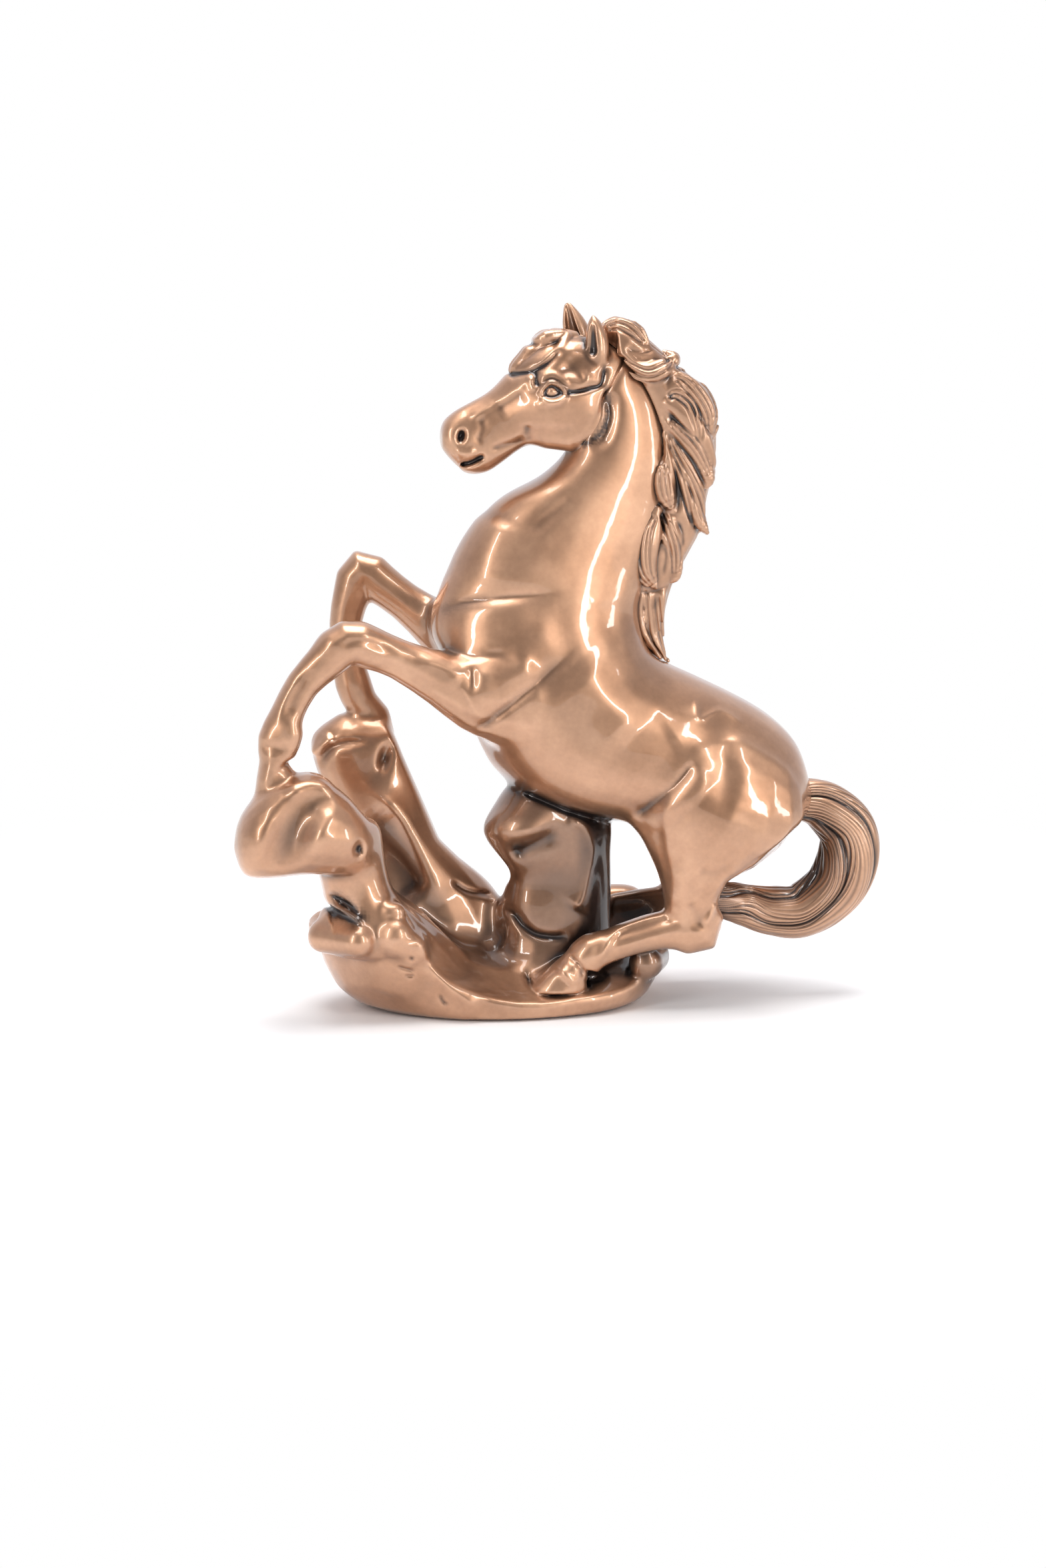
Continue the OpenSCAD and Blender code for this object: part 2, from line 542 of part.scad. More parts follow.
// dowels: places and directions
thin_bore = thin_dowel_diameter + dowel_slip;
thick_bore = dowel_diameter + dowel_slip;
near_fore_joint = between(near_shoulder, near_knee, 0.26);
far_fore_joint = between(far_shoulder, far_knee, 0.34);
fore_joint_ways = [near_knee - near_shoulder, far_knee - far_shoulder];
hind_joint = hip + torso_way * (0.03 * body_length) + torso_up * (-0.2 * barrel_depth);
hind_joint_reach = 0.42 * barrel_width;
tail_joint = dock + [2, 0, 0.4];
rock_foot = rock_middle + [0, 0, floor_height];
rock_top = rock_middle + [0, 0, 0.9 * belly_height];
near_wave_joint = near_wave_foot + [-7, 0, 5];
far_wave_joint = far_wave_foot + [-3, 0, 5];
mane_joint_ways = [for (i = [3, 6]) [mane_rows[i][3], 0, mane_rows[i][5]]];
mane_joints = [for (i = [0, 1])
    let (row = mane_rows[i == 0 ? 3 : 6])
    [row[0], 0, row[2]] - mane_joint_ways[i] * 0.25];
fore_sole_ways = [near_fore_sole - near_fore_fetlock, far_fore_sole - far_fore_fetlock];

module neck_pin(diameter) {
    dowel(collar, collar_way, dowel_length, diameter);
}

module head_pin(diameter) {
    dowel(jaw, jaw_way, thin_dowel_length, diameter);
}

module fore_pins(diameter) {
    dowel(near_fore_joint, fore_joint_ways[0], thin_dowel_length, diameter);
    dowel(far_fore_joint, fore_joint_ways[1], thin_dowel_length, diameter);
}

module hind_pins(diameter) {
    for (side = [-1, 1]) {
        dowel(hind_joint + [0, side * hind_joint_reach, 0], [0, 1, 0], thin_dowel_length, diameter);
    }
}

module tail_pin(diameter) {
    dowel(tail_joint, [1, 0, 0.1], thin_dowel_length, diameter);
}

module mane_pins(diameter) {
    for (i = [0, 1]) {
        dowel(mane_joints[i], mane_joint_ways[i], thin_dowel_length, diameter);
    }
}

module hoof_pins(diameter) {
    dowel(near_sole + [0, 0, 0.5], [0, 0, 1], thin_dowel_length - 2, diameter);
    dowel(far_sole + [0, 0, 1], [0, 0, 1], thin_dowel_length - 3, diameter);
    dowel(near_fore_sole, fore_sole_ways[0], thin_dowel_length, diameter);
    dowel(far_fore_sole, fore_sole_ways[1], thin_dowel_length, diameter);
}

module wave_pins(diameter) {
    dowel(near_wave_joint, [0, 0, 1], dowel_length, diameter);
    dowel(far_wave_joint, [0, 0, 1], dowel_length, diameter);
}

module rock_pins(diameter) {
    dowel(rock_foot + [0, 0, 2], [0, 0, 1], dowel_length - 3, diameter);
    dowel(rock_top, [0, 0, 1], dowel_length, diameter);
}

module plinth_body() {
    union() {
        skin(concat(
            [for (t = [0, 0.15, 0.35, 0.6, 0.85, 1]) wall_ring(t)],
            [for (t = [0.9, 0.75, 0.55, 0.3, 0.08]) floor_ring(t)]));
        loft(ridge_rows, rock_sides, rock_steps);
    }
}

module felt_shape(inset, bottom, thickness) {
    translate([0, 0, bottom])
        linear_extrude(height = thickness)
            polygon(felt_outline(inset));
}

module torso_body() {
    loft(torso_rows, body_sides, body_steps);
}

module neck_body() {
    loft(neck_rows, body_sides, body_steps);
}

module head_body() {
    loft(head_rows, body_sides, body_steps);
}

// the torso, neck and head under one skin, for what is glued on across their seams
module trunk_body() {
    neck_on = smooth_rows(neck_rows, body_steps);
    head_on = smooth_rows(head_rows, body_steps);
    trunk = concat(smooth_rows(torso_rows, body_steps),
        [for (i = [1 : len(neck_on) - 1]) neck_on[i]],
        [for (i = [1 : len(head_on) - 1]) head_on[i]]);
    skin([for (row = trunk) section(row, body_sides)]);
}

module near_wave_body() {
    union() {
        loft(near_wave_rows, rock_sides, rock_steps);
        loft(near_crest_rows, rock_sides, rock_steps);
    }
}

module plinth() {
    color(bronze)
    difference() {
        plinth_body();
        felt_shape(felt_margin - glue_gap, plinth_bottom - 1, felt_pocket + 1);
        limb(near_hind_path, near_hind_hoof, glue_gap);
        limb(far_hind_path, far_hind_hoof, glue_gap);
        rock_pins(thick_bore);
        wave_pins(thick_bore);
        hoof_pins(thin_bore);
    }
}

module base_felt() {
    color(felt_green)
    felt_shape(felt_margin, 0, felt_thickness);
}

module support_rock() {
    color(bronze)
    difference() {
        loft(rock_rows, rock_sides, rock_steps);
        plinth_body();
        torso_body();
        limb(near_hind_path, near_hind_hoof, glue_gap);
        limb(far_hind_path, far_hind_hoof, glue_gap);
        rock_pins(thick_bore);
    }
}

module near_wave() {
    color(bronze)
    difference() {
        near_wave_body();
        plinth_body();
        limb(near_fore_path, near_fore_hoof, glue_gap);
        wave_pins(thick_bore);
        hoof_pins(thin_bore);
    }
}

module far_wave() {
    color(bronze)
    difference() {
        loft(far_wave_rows, rock_sides, rock_steps);
        plinth_body();
        near_wave_body();
        limb(far_fore_path, far_fore_hoof, glue_gap);
        wave_pins(thick_bore);
        hoof_pins(thin_bore);
    }
}

module torso() {
    color(bronze)
    difference() {
        torso_body();
        neck_pin(thick_bore);
        fore_pins(thin_bore);
        hind_pins(thin_bore);
        tail_pin(thin_bore);
        rock_pins(thick_bore);
    }
}

module neck() {
    color(bronze)
    difference() {
        neck_body();
        neck_pin(thick_bore);
        head_pin(thin_bore);
        mane_pins(thin_bore);
    }
}

module head() {
    color(bronze)
    difference() {
        head_body();
        head_pin(thin_bore);
    }
}

module near_ear() {
    color(dark_bronze)
    difference() {
        limb(ear_path(-1));
        head_body();
    }
}

module far_ear() {
    color(dark_bronze)
    difference() {
        limb(ear_path(1));
        head_body();
    }
}

module forelock() {
    color(dark_bronze)
    difference() {
        limb(forelock_path);
        head_body();
    }
}

module mane_body() {
    union() {
        loft(mane_core_rows, rock_sides, limb_steps);
        for (side = [-1, 1], lock = mane_locks) {
            path = smooth_rows(lock_path(lock, side), limb_steps);
            skin([for (row = path_rows(path, 0)) section(row, lock_sides)]);
        }
    }
}

module mane() {
    color(dark_bronze)
    difference() {
        mane_body();
        trunk_body();
        limb(ear_path(-1), grow = glue_gap);
        limb(ear_path(1), grow = glue_gap);
        mane_pins(thin_bore);
    }
}

module near_foreleg() {
    color(bronze)
    difference() {
        limb(near_fore_path, near_fore_hoof);
        torso_body();
        fore_pins(thin_bore);
        hoof_pins(thin_bore);
    }
}

module far_foreleg() {
    color(bronze)
    difference() {
        limb(far_fore_path, far_fore_hoof);
        torso_body();
        fore_pins(thin_bore);
        hoof_pins(thin_bore);
    }
}

module near_hind_leg() {
    color(bronze)
    difference() {
        limb(near_hind_path, near_hind_hoof);
        torso_body();
        hind_pins(thin_bore);
        hoof_pins(thin_bore);
    }
}

module far_hind_leg() {
    color(bronze)
    difference() {
        limb(far_hind_path, far_hind_hoof);
        torso_body();
        hind_pins(thin_bore);
        hoof_pins(thin_bore);
    }
}

module tail_body() {
    rows = path_rows(smooth_rows(tail_path, body_steps), 0);
    skin([for (i = [0 : len(rows) - 1]) tail_section(rows[i], i / (len(rows) - 1))]);
}

module tail() {
    color(dark_bronze)
    difference() {
        tail_body();
        torso_body();
        limb(near_hind_path, near_hind_hoof, glue_gap);
        limb(far_hind_path, far_hind_hoof, glue_gap);
        tail_pin(thin_bore);
    }
}

module neck_dowel() {
    color(steel)
    neck_pin(dowel_diameter);
}

module head_dowel() {
    color(steel)
    head_pin(thin_dowel_diameter);
}

module foreleg_dowels() {
    color(steel)
    fore_pins(thin_dowel_diameter);
}

module hind_leg_dowels() {
    color(steel)
    hind_pins(thin_dowel_diameter);
}

module tail_dowel() {
    color(steel)
    tail_pin(thin_dowel_diameter);
}

module mane_dowels() {
    color(steel)
    mane_pins(thin_dowel_diameter);
}

module hoof_dowels() {
    color(steel)
    hoof_pins(thin_dowel_diameter);
}

module wave_dowels() {
    color(steel)
    wave_pins(dowel_diameter);
}

module rock_dowels() {
    color(steel)
    rock_pins(dowel_diameter);
}

plinth();
base_felt();
support_rock();
near_wave();
far_wave();
torso();
neck();
head();
near_ear();
far_ear();
forelock();
mane();
near_foreleg();
far_foreleg();
near_hind_leg();
far_hind_leg();
tail();
neck_dowel();
head_dowel();
foreleg_dowels();
hind_leg_dowels();
tail_dowel();
mane_dowels();
hoof_dowels();
wave_dowels();
rock_dowels();
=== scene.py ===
"""Rearing horse ornament in lacquered bronze-finish resin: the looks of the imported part."""

import math

import bpy
import numpy as np
import openvdb
from mathutils import Matrix, Vector


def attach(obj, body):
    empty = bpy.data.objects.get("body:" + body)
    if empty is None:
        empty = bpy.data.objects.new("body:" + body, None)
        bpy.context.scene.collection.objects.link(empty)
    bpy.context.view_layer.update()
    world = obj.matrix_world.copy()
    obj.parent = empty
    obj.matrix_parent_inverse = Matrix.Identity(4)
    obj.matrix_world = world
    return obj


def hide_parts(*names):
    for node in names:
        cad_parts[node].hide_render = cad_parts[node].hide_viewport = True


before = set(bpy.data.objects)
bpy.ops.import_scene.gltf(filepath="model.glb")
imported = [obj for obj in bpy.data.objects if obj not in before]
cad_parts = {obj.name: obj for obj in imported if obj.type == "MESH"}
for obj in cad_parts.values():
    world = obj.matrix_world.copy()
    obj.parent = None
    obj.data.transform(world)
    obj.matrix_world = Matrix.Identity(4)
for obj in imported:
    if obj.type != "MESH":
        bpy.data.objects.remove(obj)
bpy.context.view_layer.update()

# Shapes are worked out in millimetres, and pieces are made in metres
MM = 0.001
# how far from a surface its distances are kept
REACH = 6.0
BODY_STEP = 0.38
HEAD_STEP = 0.2
HAIR_STEP = 0.18

# The photograph's camera, in millimetres and pixels
PHOTO_W, PHOTO_H = 1568, 2350
FOCAL = 5000.0
EYE = np.array([-92.90, -675.11, 166.36])
AZIMUTH, ELEVATION = math.radians(-8), math.radians(10)
BACK = np.array(
    [
        math.sin(AZIMUTH) * math.cos(ELEVATION),
        -math.cos(AZIMUTH) * math.cos(ELEVATION),
        math.sin(ELEVATION),
    ]
)
RIGHT = np.array([math.cos(AZIMUTH), math.sin(AZIMUTH), 0.0])
UP = np.cross(BACK, RIGHT)
# places along a line of sight where a solid is looked for, from the plane y = 0
SIGHT = np.arange(-45, 45, 0.15)

# How a relief is pressed in: the depth over which it fades, and the roundness of its sharp edges
PRESS_FADE = 3.0
SHARP_EDGE = 0.4


def ray(px, py):
    """The direction in which a pixel of the photograph looks."""
    return -BACK + RIGHT * (px - PHOTO_W / 2) / FOCAL - UP * (py - PHOTO_H / 2) / FOCAL


def on_plane(px, py, y):
    """The place that a pixel sees on a plane of constant y."""
    way = ray(px, py)
    return EYE + way * (y - EYE[1]) / way[1]


def all_on_plane(pixels, y):
    return np.array([on_plane(px, py, y) for px, py in pixels])


def smooth_line(points, pieces=6):
    """A finer list of points, or of numbers, on a smooth curve through the given ones."""
    p = np.array(points, float)
    ends = np.concatenate([2 * p[:1] - p[1:2], p, 2 * p[-1:] - p[-2:-1]])
    t = np.linspace(0, 1, pieces, endpoint=False).reshape(-1, *[1] * (p.ndim - 1))
    out = []
    for a, b, c, d in zip(ends, ends[1:], ends[2:], ends[3:]):
        bend = (2 * a - 5 * b + 4 * c - d) / 2 + t * (3 * (b - c) + d - a) / 2
        out.append(b + t * ((c - a) / 2 + t * bend))
    return np.concatenate(out + [p[-1:]])


def rise(values, start, length):
    """0 up to the start, then evenly up to 1 over the length."""
    return np.clip((values - start) / length, 0, 1)


def weld(a, b, size):
    """The union of two solids with a fillet of about this size between them."""
    near = np.maximum(size - np.abs(a - b), 0)
    return np.minimum(a, b) - near * near / (4 * size)


def carve(a, b, size):
    """The first solid without the second, with its new edges rounded by about this size."""
    return -weld(-a, b, size)


def running_mean(values, axis, radius):
    pad = [(0, 0)] * 3
    pad[axis] = (radius + 1, radius)
    total = np.cumsum(np.pad(values, pad, "edge"), axis=axis, dtype=np.float32)
    width = 2 * radius + 1
    first, last = [slice(None)] * 3, [slice(None)] * 3
    first[axis], last[axis] = slice(None, -width), slice(width, None)
    return (total[tuple(last)] - total[tuple(first)]) / width


def cad_triangles(name):
    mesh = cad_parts[name].data
    points = np.empty(len(mesh.vertices) * 3, np.float32)
    mesh.vertices.foreach_get("co", points)
    mesh.calc_loop_triangles()
    corners = np.empty(len(mesh.loop_triangles) * 3, np.int32)
    mesh.loop_triangles.foreach_get("vertices", corners)
    return points.reshape(-1, 3) / np.float32(MM), corners.reshape(-1, 3)


class Field:
    """A box of space in which solids are distances on a regular grid, negative inside."""

    def __init__(self, low, high, step):
        self.low = np.array(low, np.float32)
        self.step = step
        self.shape = tuple(int(round((b - a) / step)) + 1 for a, b in zip(low, high))
        self.x, self.y, self.z = (
            (low[i] + step * np.arange(self.shape[i], dtype=np.float32)) for i in range(3)
        )

    def solid(self, points, corners):
        inside = (points - self.low).astype(np.float32)
        size = openvdb.createLinearTransform(voxelSize=self.step)
        grid = openvdb.FloatGrid.createLevelSetFromPolygons(
            inside, triangles=corners.astype(np.uint32), transform=size, halfWidth=REACH / self.step
        )
        values = np.empty(self.shape, np.float32)
        grid.copyToArray(values, ijk=(0, 0, 0))
        return values

    def cad(self, *names):
        return np.minimum.reduce([self.solid(*cad_triangles(name)) for name in names])

    def nearest(self, solids):
        """Which of several solids is nearest, and the first one where none is in reach."""
        best = np.full(self.shape, REACH, np.float32)
        owner = np.zeros(self.shape, np.int8)
        for number, solid in enumerate(solids):
            closer = solid < best
            best[closer] = solid[closer]
            owner[closer] = number
        return owner

    def blur(self, values, length):
        """The distances blurred over about this length."""
        for axis in range(3):
            for _ in range(2):
                values = running_mean(values, axis, max(1, round(length / self.step)))
        return values

    def cells(self, points):
        """The grid's points that are nearest to some places."""
        cell = np.round((points - self.low) / self.step).astype(int)
        return tuple(np.clip(cell, 0, np.array(self.shape) - 1).T)

    def sample(self, values, points):
        """Values between the grid's points."""
        place = (np.asarray(points, np.float32) - self.low) / self.step
        place = np.clip(place, 0, np.array(self.shape) - 1.001)
        i = place.astype(np.int32)
        f = place - i
        out = 0
        for a in (0, 1):
            for b in (0, 1):
                for c in (0, 1):
                    w = (
                        (f[:, 0] if a else 1 - f[:, 0])
                        * (f[:, 1] if b else 1 - f[:, 1])
                        * (f[:, 2] if c else 1 - f[:, 2])
                    )
                    out = out + w * values[i[:, 0] + a, i[:, 1] + b, i[:, 2] + c]
        return out

    def slope(self, values, points):
        """Unit directions straight out of the surface."""
        reach = 0.7 * self.step
        out = np.empty((len(points), 3), np.float32)
        for k in range(3):
            move = np.zeros(3, np.float32)
            move[k] = reach
            out[:, k] = self.sample(values, points + move) - self.sample(values, points - move)
        return out / np.maximum(np.linalg.norm(out, axis=1, keepdims=True), 1e-9)

    def window(self, low, high):
        """The grid's points in a box: where they are in an array, and their coordinates."""
        box = []
        for low_end, high_end, line in zip(low, high, (self.x, self.y, self.z)):
            box.append(slice(*np.searchsorted(line, [low_end, high_end])))
        x, y, z = (line[cut] for line, cut in zip((self.x, self.y, self.z), box))
        return tuple(box), x[:, None, None], y[None, :, None], z[None, None, :]

    def rods(self, path, radii, margin=4.0):
        """Distances to tapered rods from point to point, in the box around them."""
        path = np.asarray(path, float)
        margin += max(radii)
        box, x, y, z = self.window(path.min(0) - margin, path.max(0) + margin)
        made = None
        for a, b, r0, r1 in zip(path, path[1:], radii, radii[1:]):
            step = b - a
            dx, dy, dz = x - a[0], y - a[1], z - a[2]
            t = np.clip((dx * step[0] + dy * step[1] + dz * step[2]) / max(step @ step, 1e-9), 0, 1)
            away = np.sqrt((dx - t * step[0]) ** 2 + (dy - t * step[1]) ** 2 + (dz - t * step[2]) ** 2)
            part = (away - r0 - (r1 - r0) * t).astype(np.float32)
            made = part if made is None else np.minimum(made, part)
        return box, made

    def add_rods(self, values, path, radii, size, **more):
        """Weld tapered rods to a solid."""
        box, rods = self.rods(path, radii, **more)
        values[box] = weld(values[box], rods, size)

    def cut_rods(self, values, path, radii, size, **more):
        """Carve tapered rods out of a solid."""
        box, rods = self.rods(path, radii, **more)
        values[box] = carve(values[box], rods, size)

    def seen(self, values, px, py, y=0.0):
        """The place on a solid that a pixel sees, or one on a plane of constant y where it misses."""
        line = on_plane(px, py, 0) + SIGHT[:, None] * ray(px, py)
        high = self.low + self.step * (np.array(self.shape) - 1)
        line = line[np.all((line >= self.low) & (line <= high), axis=1)]
        depth = self.sample(values, line) if len(line) else np.array([1.0])
        hit = np.nonzero(depth < 0)[0]
        return line[hit[0]] if len(hit) else on_plane(px, py, y)

    def surface(self, values):
        """The surface of a solid as points, quads and the way out at each point."""
        size = openvdb.createLinearTransform(voxelSize=self.step)
        band = 3 * self.step
        grid = openvdb.FloatGrid(float(band))
        grid.transform = size
        grid.copyFromArray(np.clip(values, -band, band))
        points, quads = grid.convertToQuads()
        points = points.astype(np.float32) + self.low
        out = self.slope(values, points)
        a, b, c = (points[quads[:, k]] for k in (0, 1, 2))
        facing = np.einsum("ij,ij->i", np.cross(b - a, c - a), out[quads[:, 0]])
        if np.median(facing) < 0:
            quads = quads[:, ::-1]
        return points, quads, out


class Relief:
    """Raised and sunken marks drawn in the side view of a field, pressed into a solid from its sides."""

    def __init__(self, field, values, lines=(), swells=()):
        self.field, self.values = field, values
        self.marks = np.zeros((field.shape[0], field.shape[2]), np.float32)
        for draw, drawn in ((self.line, lines), (self.swell, swells)):
            for mark in drawn:
                *sizes, more = mark if isinstance(mark[-1], dict) else (*mark, {})
                draw(*sizes, **more)

    def places(self, pixels):
        return np.array([self.field.seen(self.values, *p)[[0, 2]] for p in pixels])

    def window(self, points, margin):
        field = self.field
        low, high = points.min(0) - margin, points.max(0) + margin
        i = np.searchsorted(field.x, [low[0], high[0]])
        k = np.searchsorted(field.z, [low[1], high[1]])
        box = (slice(*i), slice(*k))
        return box, field.x[box[0]][:, None], field.z[box[1]][None, :]

    def line(self, pixels, width, height, **more):
        """A groove or ridge along a line of the photograph."""
        self.stroke(smooth_line(self.places(pixels), 4), width, height, **more)

    def strands(self, pixels, spread, count, width, depth):
        """Fine grooves side by side along a lock of hair, which has a half-width at each pixel."""
        path = smooth_line(np.column_stack([self.places(pixels), spread]), 4)
        way = np.gradient(path[:, :2], axis=0)
        way /= np.linalg.norm(way, axis=1, keepdims=True)
        across = np.column_stack([-way[:, 1], way[:, 0]])
        for k in range(count):
            share = 2 * (k + 0.5) / count - 1
            deep = depth * (0.75 + 0.25 * math.sin(2.1 * k))
            self.stroke(path[:, :2] + across * path[:, 2:] * share, width, -deep, fade=0.12)

    def stroke(self, path, width, height, side=0, reach=0, fade=0.25, sharp=False):
        """A groove or ridge along a path in x and z, round or with a sharp edge along its middle.

        With a side, the surface on that side is raised as well, and falls off over the reach.
        """
        margin = max((5 if sharp else 3) * width, 2 * reach)
        box, x, z = self.window(path, margin)
        best = np.full((x.shape[0], z.shape[1]), 1e9, np.float32)
        along = np.zeros_like(best)
        hand = np.zeros_like(best)
        count = len(path) - 1
        for n, (a, b) in enumerate(zip(path, path[1:])):
            step = b - a
            long2 = max(step @ step, 1e-9)
            t = np.clip(((x - a[0]) * step[0] + (z - a[1]) * step[1]) / long2, 0, 1)
            dx, dz = x - a[0] - t * step[0], z - a[1] - t * step[1]
            d = np.sqrt(dx * dx + dz * dz)
            closer = d < best
            best = np.where(closer, d, best)
            along = np.where(closer, (n + t) / count, along)
            hand = np.where(closer, np.sign(step[0] * dz - step[1] * dx), hand)
        ends = rise(np.minimum(along, 1 - along), 0, fade)
        ends = ends * ends * (3 - 2 * ends)
        if sharp:
            mark = height * np.exp(SHARP_EDGE - np.sqrt((best / width) ** 2 + SHARP_EDGE**2))
        else:
            mark = height * np.exp(-((best / width) ** 2))
        if side:
            hill = np.clip(best / reach, 0, 2)
            mark = mark + np.where(hand == np.sign(side), abs(side) * (hill * (2 - hill)) ** 2, 0)
        self.marks[box] += mark * ends

    def swell(self, pixel, wide, tall, height, turn=0.0, flat=False):
        """A rounded or flat-topped bump, or a dent where the height is negative."""
        middle = self.places([pixel])
        box, x, z = self.window(middle, 2.5 * max(wide, tall))
        c, s = math.cos(math.radians(turn)), math.sin(math.radians(turn))
        dx, dz = x - middle[0, 0], z - middle[0, 1]
        u, v = (dx * c + dz * s) / wide, (dz * c - dx * s) / tall
        self.marks[box] += height * np.exp(-((u * u + v * v) ** (2 if flat else 1)))

    def at(self, points):
        """The marks' height at points of a surface."""
        i, _, k = self.field.cells(points)
        return self.marks[i, k]

    def press(self, values, front=-99.0, back=99.0):
        """Work the marks into a solid, everywhere or between two planes of constant y."""
        y = self.field.y
        half = PRESS_FADE / 2
        weight = rise(y, front - half, PRESS_FADE) * rise(-y, -back - half, PRESS_FADE)
        values -= self.marks[:, None, :] * weight[None, :, None].astype(np.float32)


# Materials


def node_maker(tree):
    """A function that makes a tree's nodes and sets or links their inputs, by number or by name."""
    tree.nodes.clear()

    def make(kind, *values, settings=None, **inputs):
        node = tree.nodes.new("ShaderNode" + kind)
        for key, value in (settings or {}).items():
            setattr(node, key, value)
        named = {key.replace("_", " "): value for key, value in inputs.items()}
        for key, value in [*enumerate(values), *named.items()]:
            if isinstance(value, bpy.types.NodeSocket):
                tree.links.new(value, node.inputs[key])
            else:
                node.inputs[key].default_value = value
        return node

    return make


def new_material(name):
    material = bpy.data.materials.new(name)
    material.use_nodes = True
    return material, node_maker(material.node_tree)


def colour_ramp(node, stops):
    ramp = node.color_ramp
    while len(ramp.elements) < len(stops):
        ramp.elements.new(0.5)
    for element, (place, colour) in zip(ramp.elements, stops):
        element.position = place
        element.color = (*colour, 1)
    return node.outputs["Color"]


LIGHT_BRONZE = (0.6, 0.342, 0.208)
MIDDLE_BRONZE = (0.41, 0.212, 0.117)
# the dark of the wash, also the colour of painted shade
WASH_AND_SHADE_COLOUR = (0.036, 0.024, 0.021)


def bronze(name, gloss):
    """Metallic bronze paint with a dark wash left in its hollows and the same dark colour as painted shade,
    under lacquer of some roughness.
    """
    material, make = new_material(name)
    place = make("TexCoord").outputs["Object"]
    cloud = make("TexNoise", Vector=place, Scale=55, Detail=6, Roughness=0.6).outputs["Fac"]
    fleck = make("TexNoise", Vector=place, Scale=900, Detail=3).outputs["Fac"]
    peel = make("TexNoise", Vector=place, Scale=260, Detail=2).outputs["Fac"]
    wash_and_shade = make("Attribute", settings={"attribute_name": "wash_and_shade"}).outputs["Fac"]
    edge = make("Attribute", settings={"attribute_name": "edge"}).outputs["Fac"]
    add = {"operation": "MULTIPLY_ADD"}
    # the paint's own tone drifts from light to middle bronze
    drift = make("Math", edge, 0.35, cloud, settings=add).outputs[0]
    tone = colour_ramp(make("ValToRGB", Fac=drift), [(0.3, MIDDLE_BRONZE), (0.68, LIGHT_BRONZE)])
    # the wash gathers in the hollows, unevenly, and the same dark colour paints shade in creases, deep
    # recesses and shaded places
    uneven = make("Math", cloud, 0.7, 0.62, settings=add).outputs[0]
    amount = make("Math", wash_and_shade, uneven, settings={"operation": "MULTIPLY", "use_clamp": True})
    colours = {"data_type": "RGBA"}
    mix = make("Mix", settings=colours, Factor=amount.outputs[0], A=tone, B=(*WASH_AND_SHADE_COLOUR, 1))
    # fine metal flake in the paint
    overlay = {**colours, "blend_type": "OVERLAY"}
    flake = make("Mix", settings=overlay, Factor=0.12, A=mix.outputs["Result"], B=fleck)
    rough = make("MapRange", Value=cloud, From_Min=0.3, From_Max=0.7, To_Min=0.34, To_Max=0.42).outputs[0]
    bump = make("Bump", Height=peel, Strength=0.12, Distance=0.0004).outputs["Normal"]
    paint = {"Metallic": 0.85, "Base_Color": flake.outputs["Result"], "Roughness": rough, "Normal": bump}
    lacquer = {"Coat_Weight": 1.0, "Coat_Roughness": gloss, "Coat_IOR": 1.5, "Coat_Normal": bump}
    shader = make("BsdfPrincipled", **paint, **lacquer)
    make("OutputMaterial", Surface=shader.outputs[0])
    return material


def plain(name, first, second, metallic, rough, scale, stretch, height):
    """A material of two close colours in fine grain, for the felt and the hidden rods."""
    material, make = new_material(name)
    place = make("TexCoord").outputs["Object"]
    scaled = make("Mapping", Vector=place, Scale=stretch).outputs["Vector"]
    grain = make("TexNoise", Vector=scaled, Scale=scale, Detail=5).outputs["Fac"]
    tone = colour_ramp(make("ValToRGB", Fac=grain), [(0.3, first), (0.7, second)])
    uneven = make("MapRange", Value=grain, To_Min=rough - 0.08, To_Max=rough + 0.08).outputs[0]
    bump = make("Bump", Height=grain, Strength=0.5, Distance=height).outputs["Normal"]
    shader = make("BsdfPrincipled", Metallic=metallic, Base_Color=tone, Roughness=uneven, Normal=bump)
    make("OutputMaterial", Surface=shader.outputs[0])
    return material


PAINTS = {"bronze_resin": bronze("bronze_resin", 0.05), "bronze_hair": bronze("bronze_hair", 0.12)}
felt = plain("base_felt", (0.035, 0.012, 0.012), (0.09, 0.03, 0.028), 0, 0.88, 1800, (1, 1, 1), 0.0003)
steel = plain("dowel_steel", (0.42, 0.42, 0.43), (0.58, 0.58, 0.59), 1, 0.34, 700, (1, 1, 12), 0.00003)
for node_name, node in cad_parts.items():
    if "dowel" in node_name or "felt" in node_name:
        for place in node.material_slots:
            place.material = felt if "felt" in node_name else steel


# Pieces


def vote(label, quads, rounds=4):
    """Labels of faces after each has taken the commonest one around it, a few times over."""
    kinds = label.max() + 1
    for _ in range(rounds):
        counts = [np.bincount(quads.ravel(), np.repeat(label == k, 4)) for k in range(kinds)]
        label = np.stack([c[quads].sum(1) for c in counts]).argmax(0)
    return label


def main_part(faces):
    """Which faces hang together with most of the others."""
    group = np.arange(faces.max() + 1)
    while True:
        joined = group.copy()
        np.minimum.at(joined, faces.ravel(), np.repeat(group[faces].min(1), faces.shape[1]))
        joined = joined[joined]
        if np.array_equal(joined, group):
            break
        group = joined
    first = group[faces[:, 0]]
    return first == np.bincount(first).argmax()


def wash_shade_and_wear(field, values, points, hollows, edge_height=1.0):
    """The paint's numbers at points of a surface: how much wash and painted shade lies there, and how bare
    its edges are.

    Each kind of hollow has the length over which it is looked for, the depth that fills it and its darkness.
    """
    heights = [field.sample(field.blur(values, length), points) for length, _, _ in hollows]
    wash_and_shade = sum(dark * rise(-height, 0, deep) for height, (_, deep, dark) in zip(heights, hollows))
    return wash_and_shade, rise(heights[0], 0, edge_height)


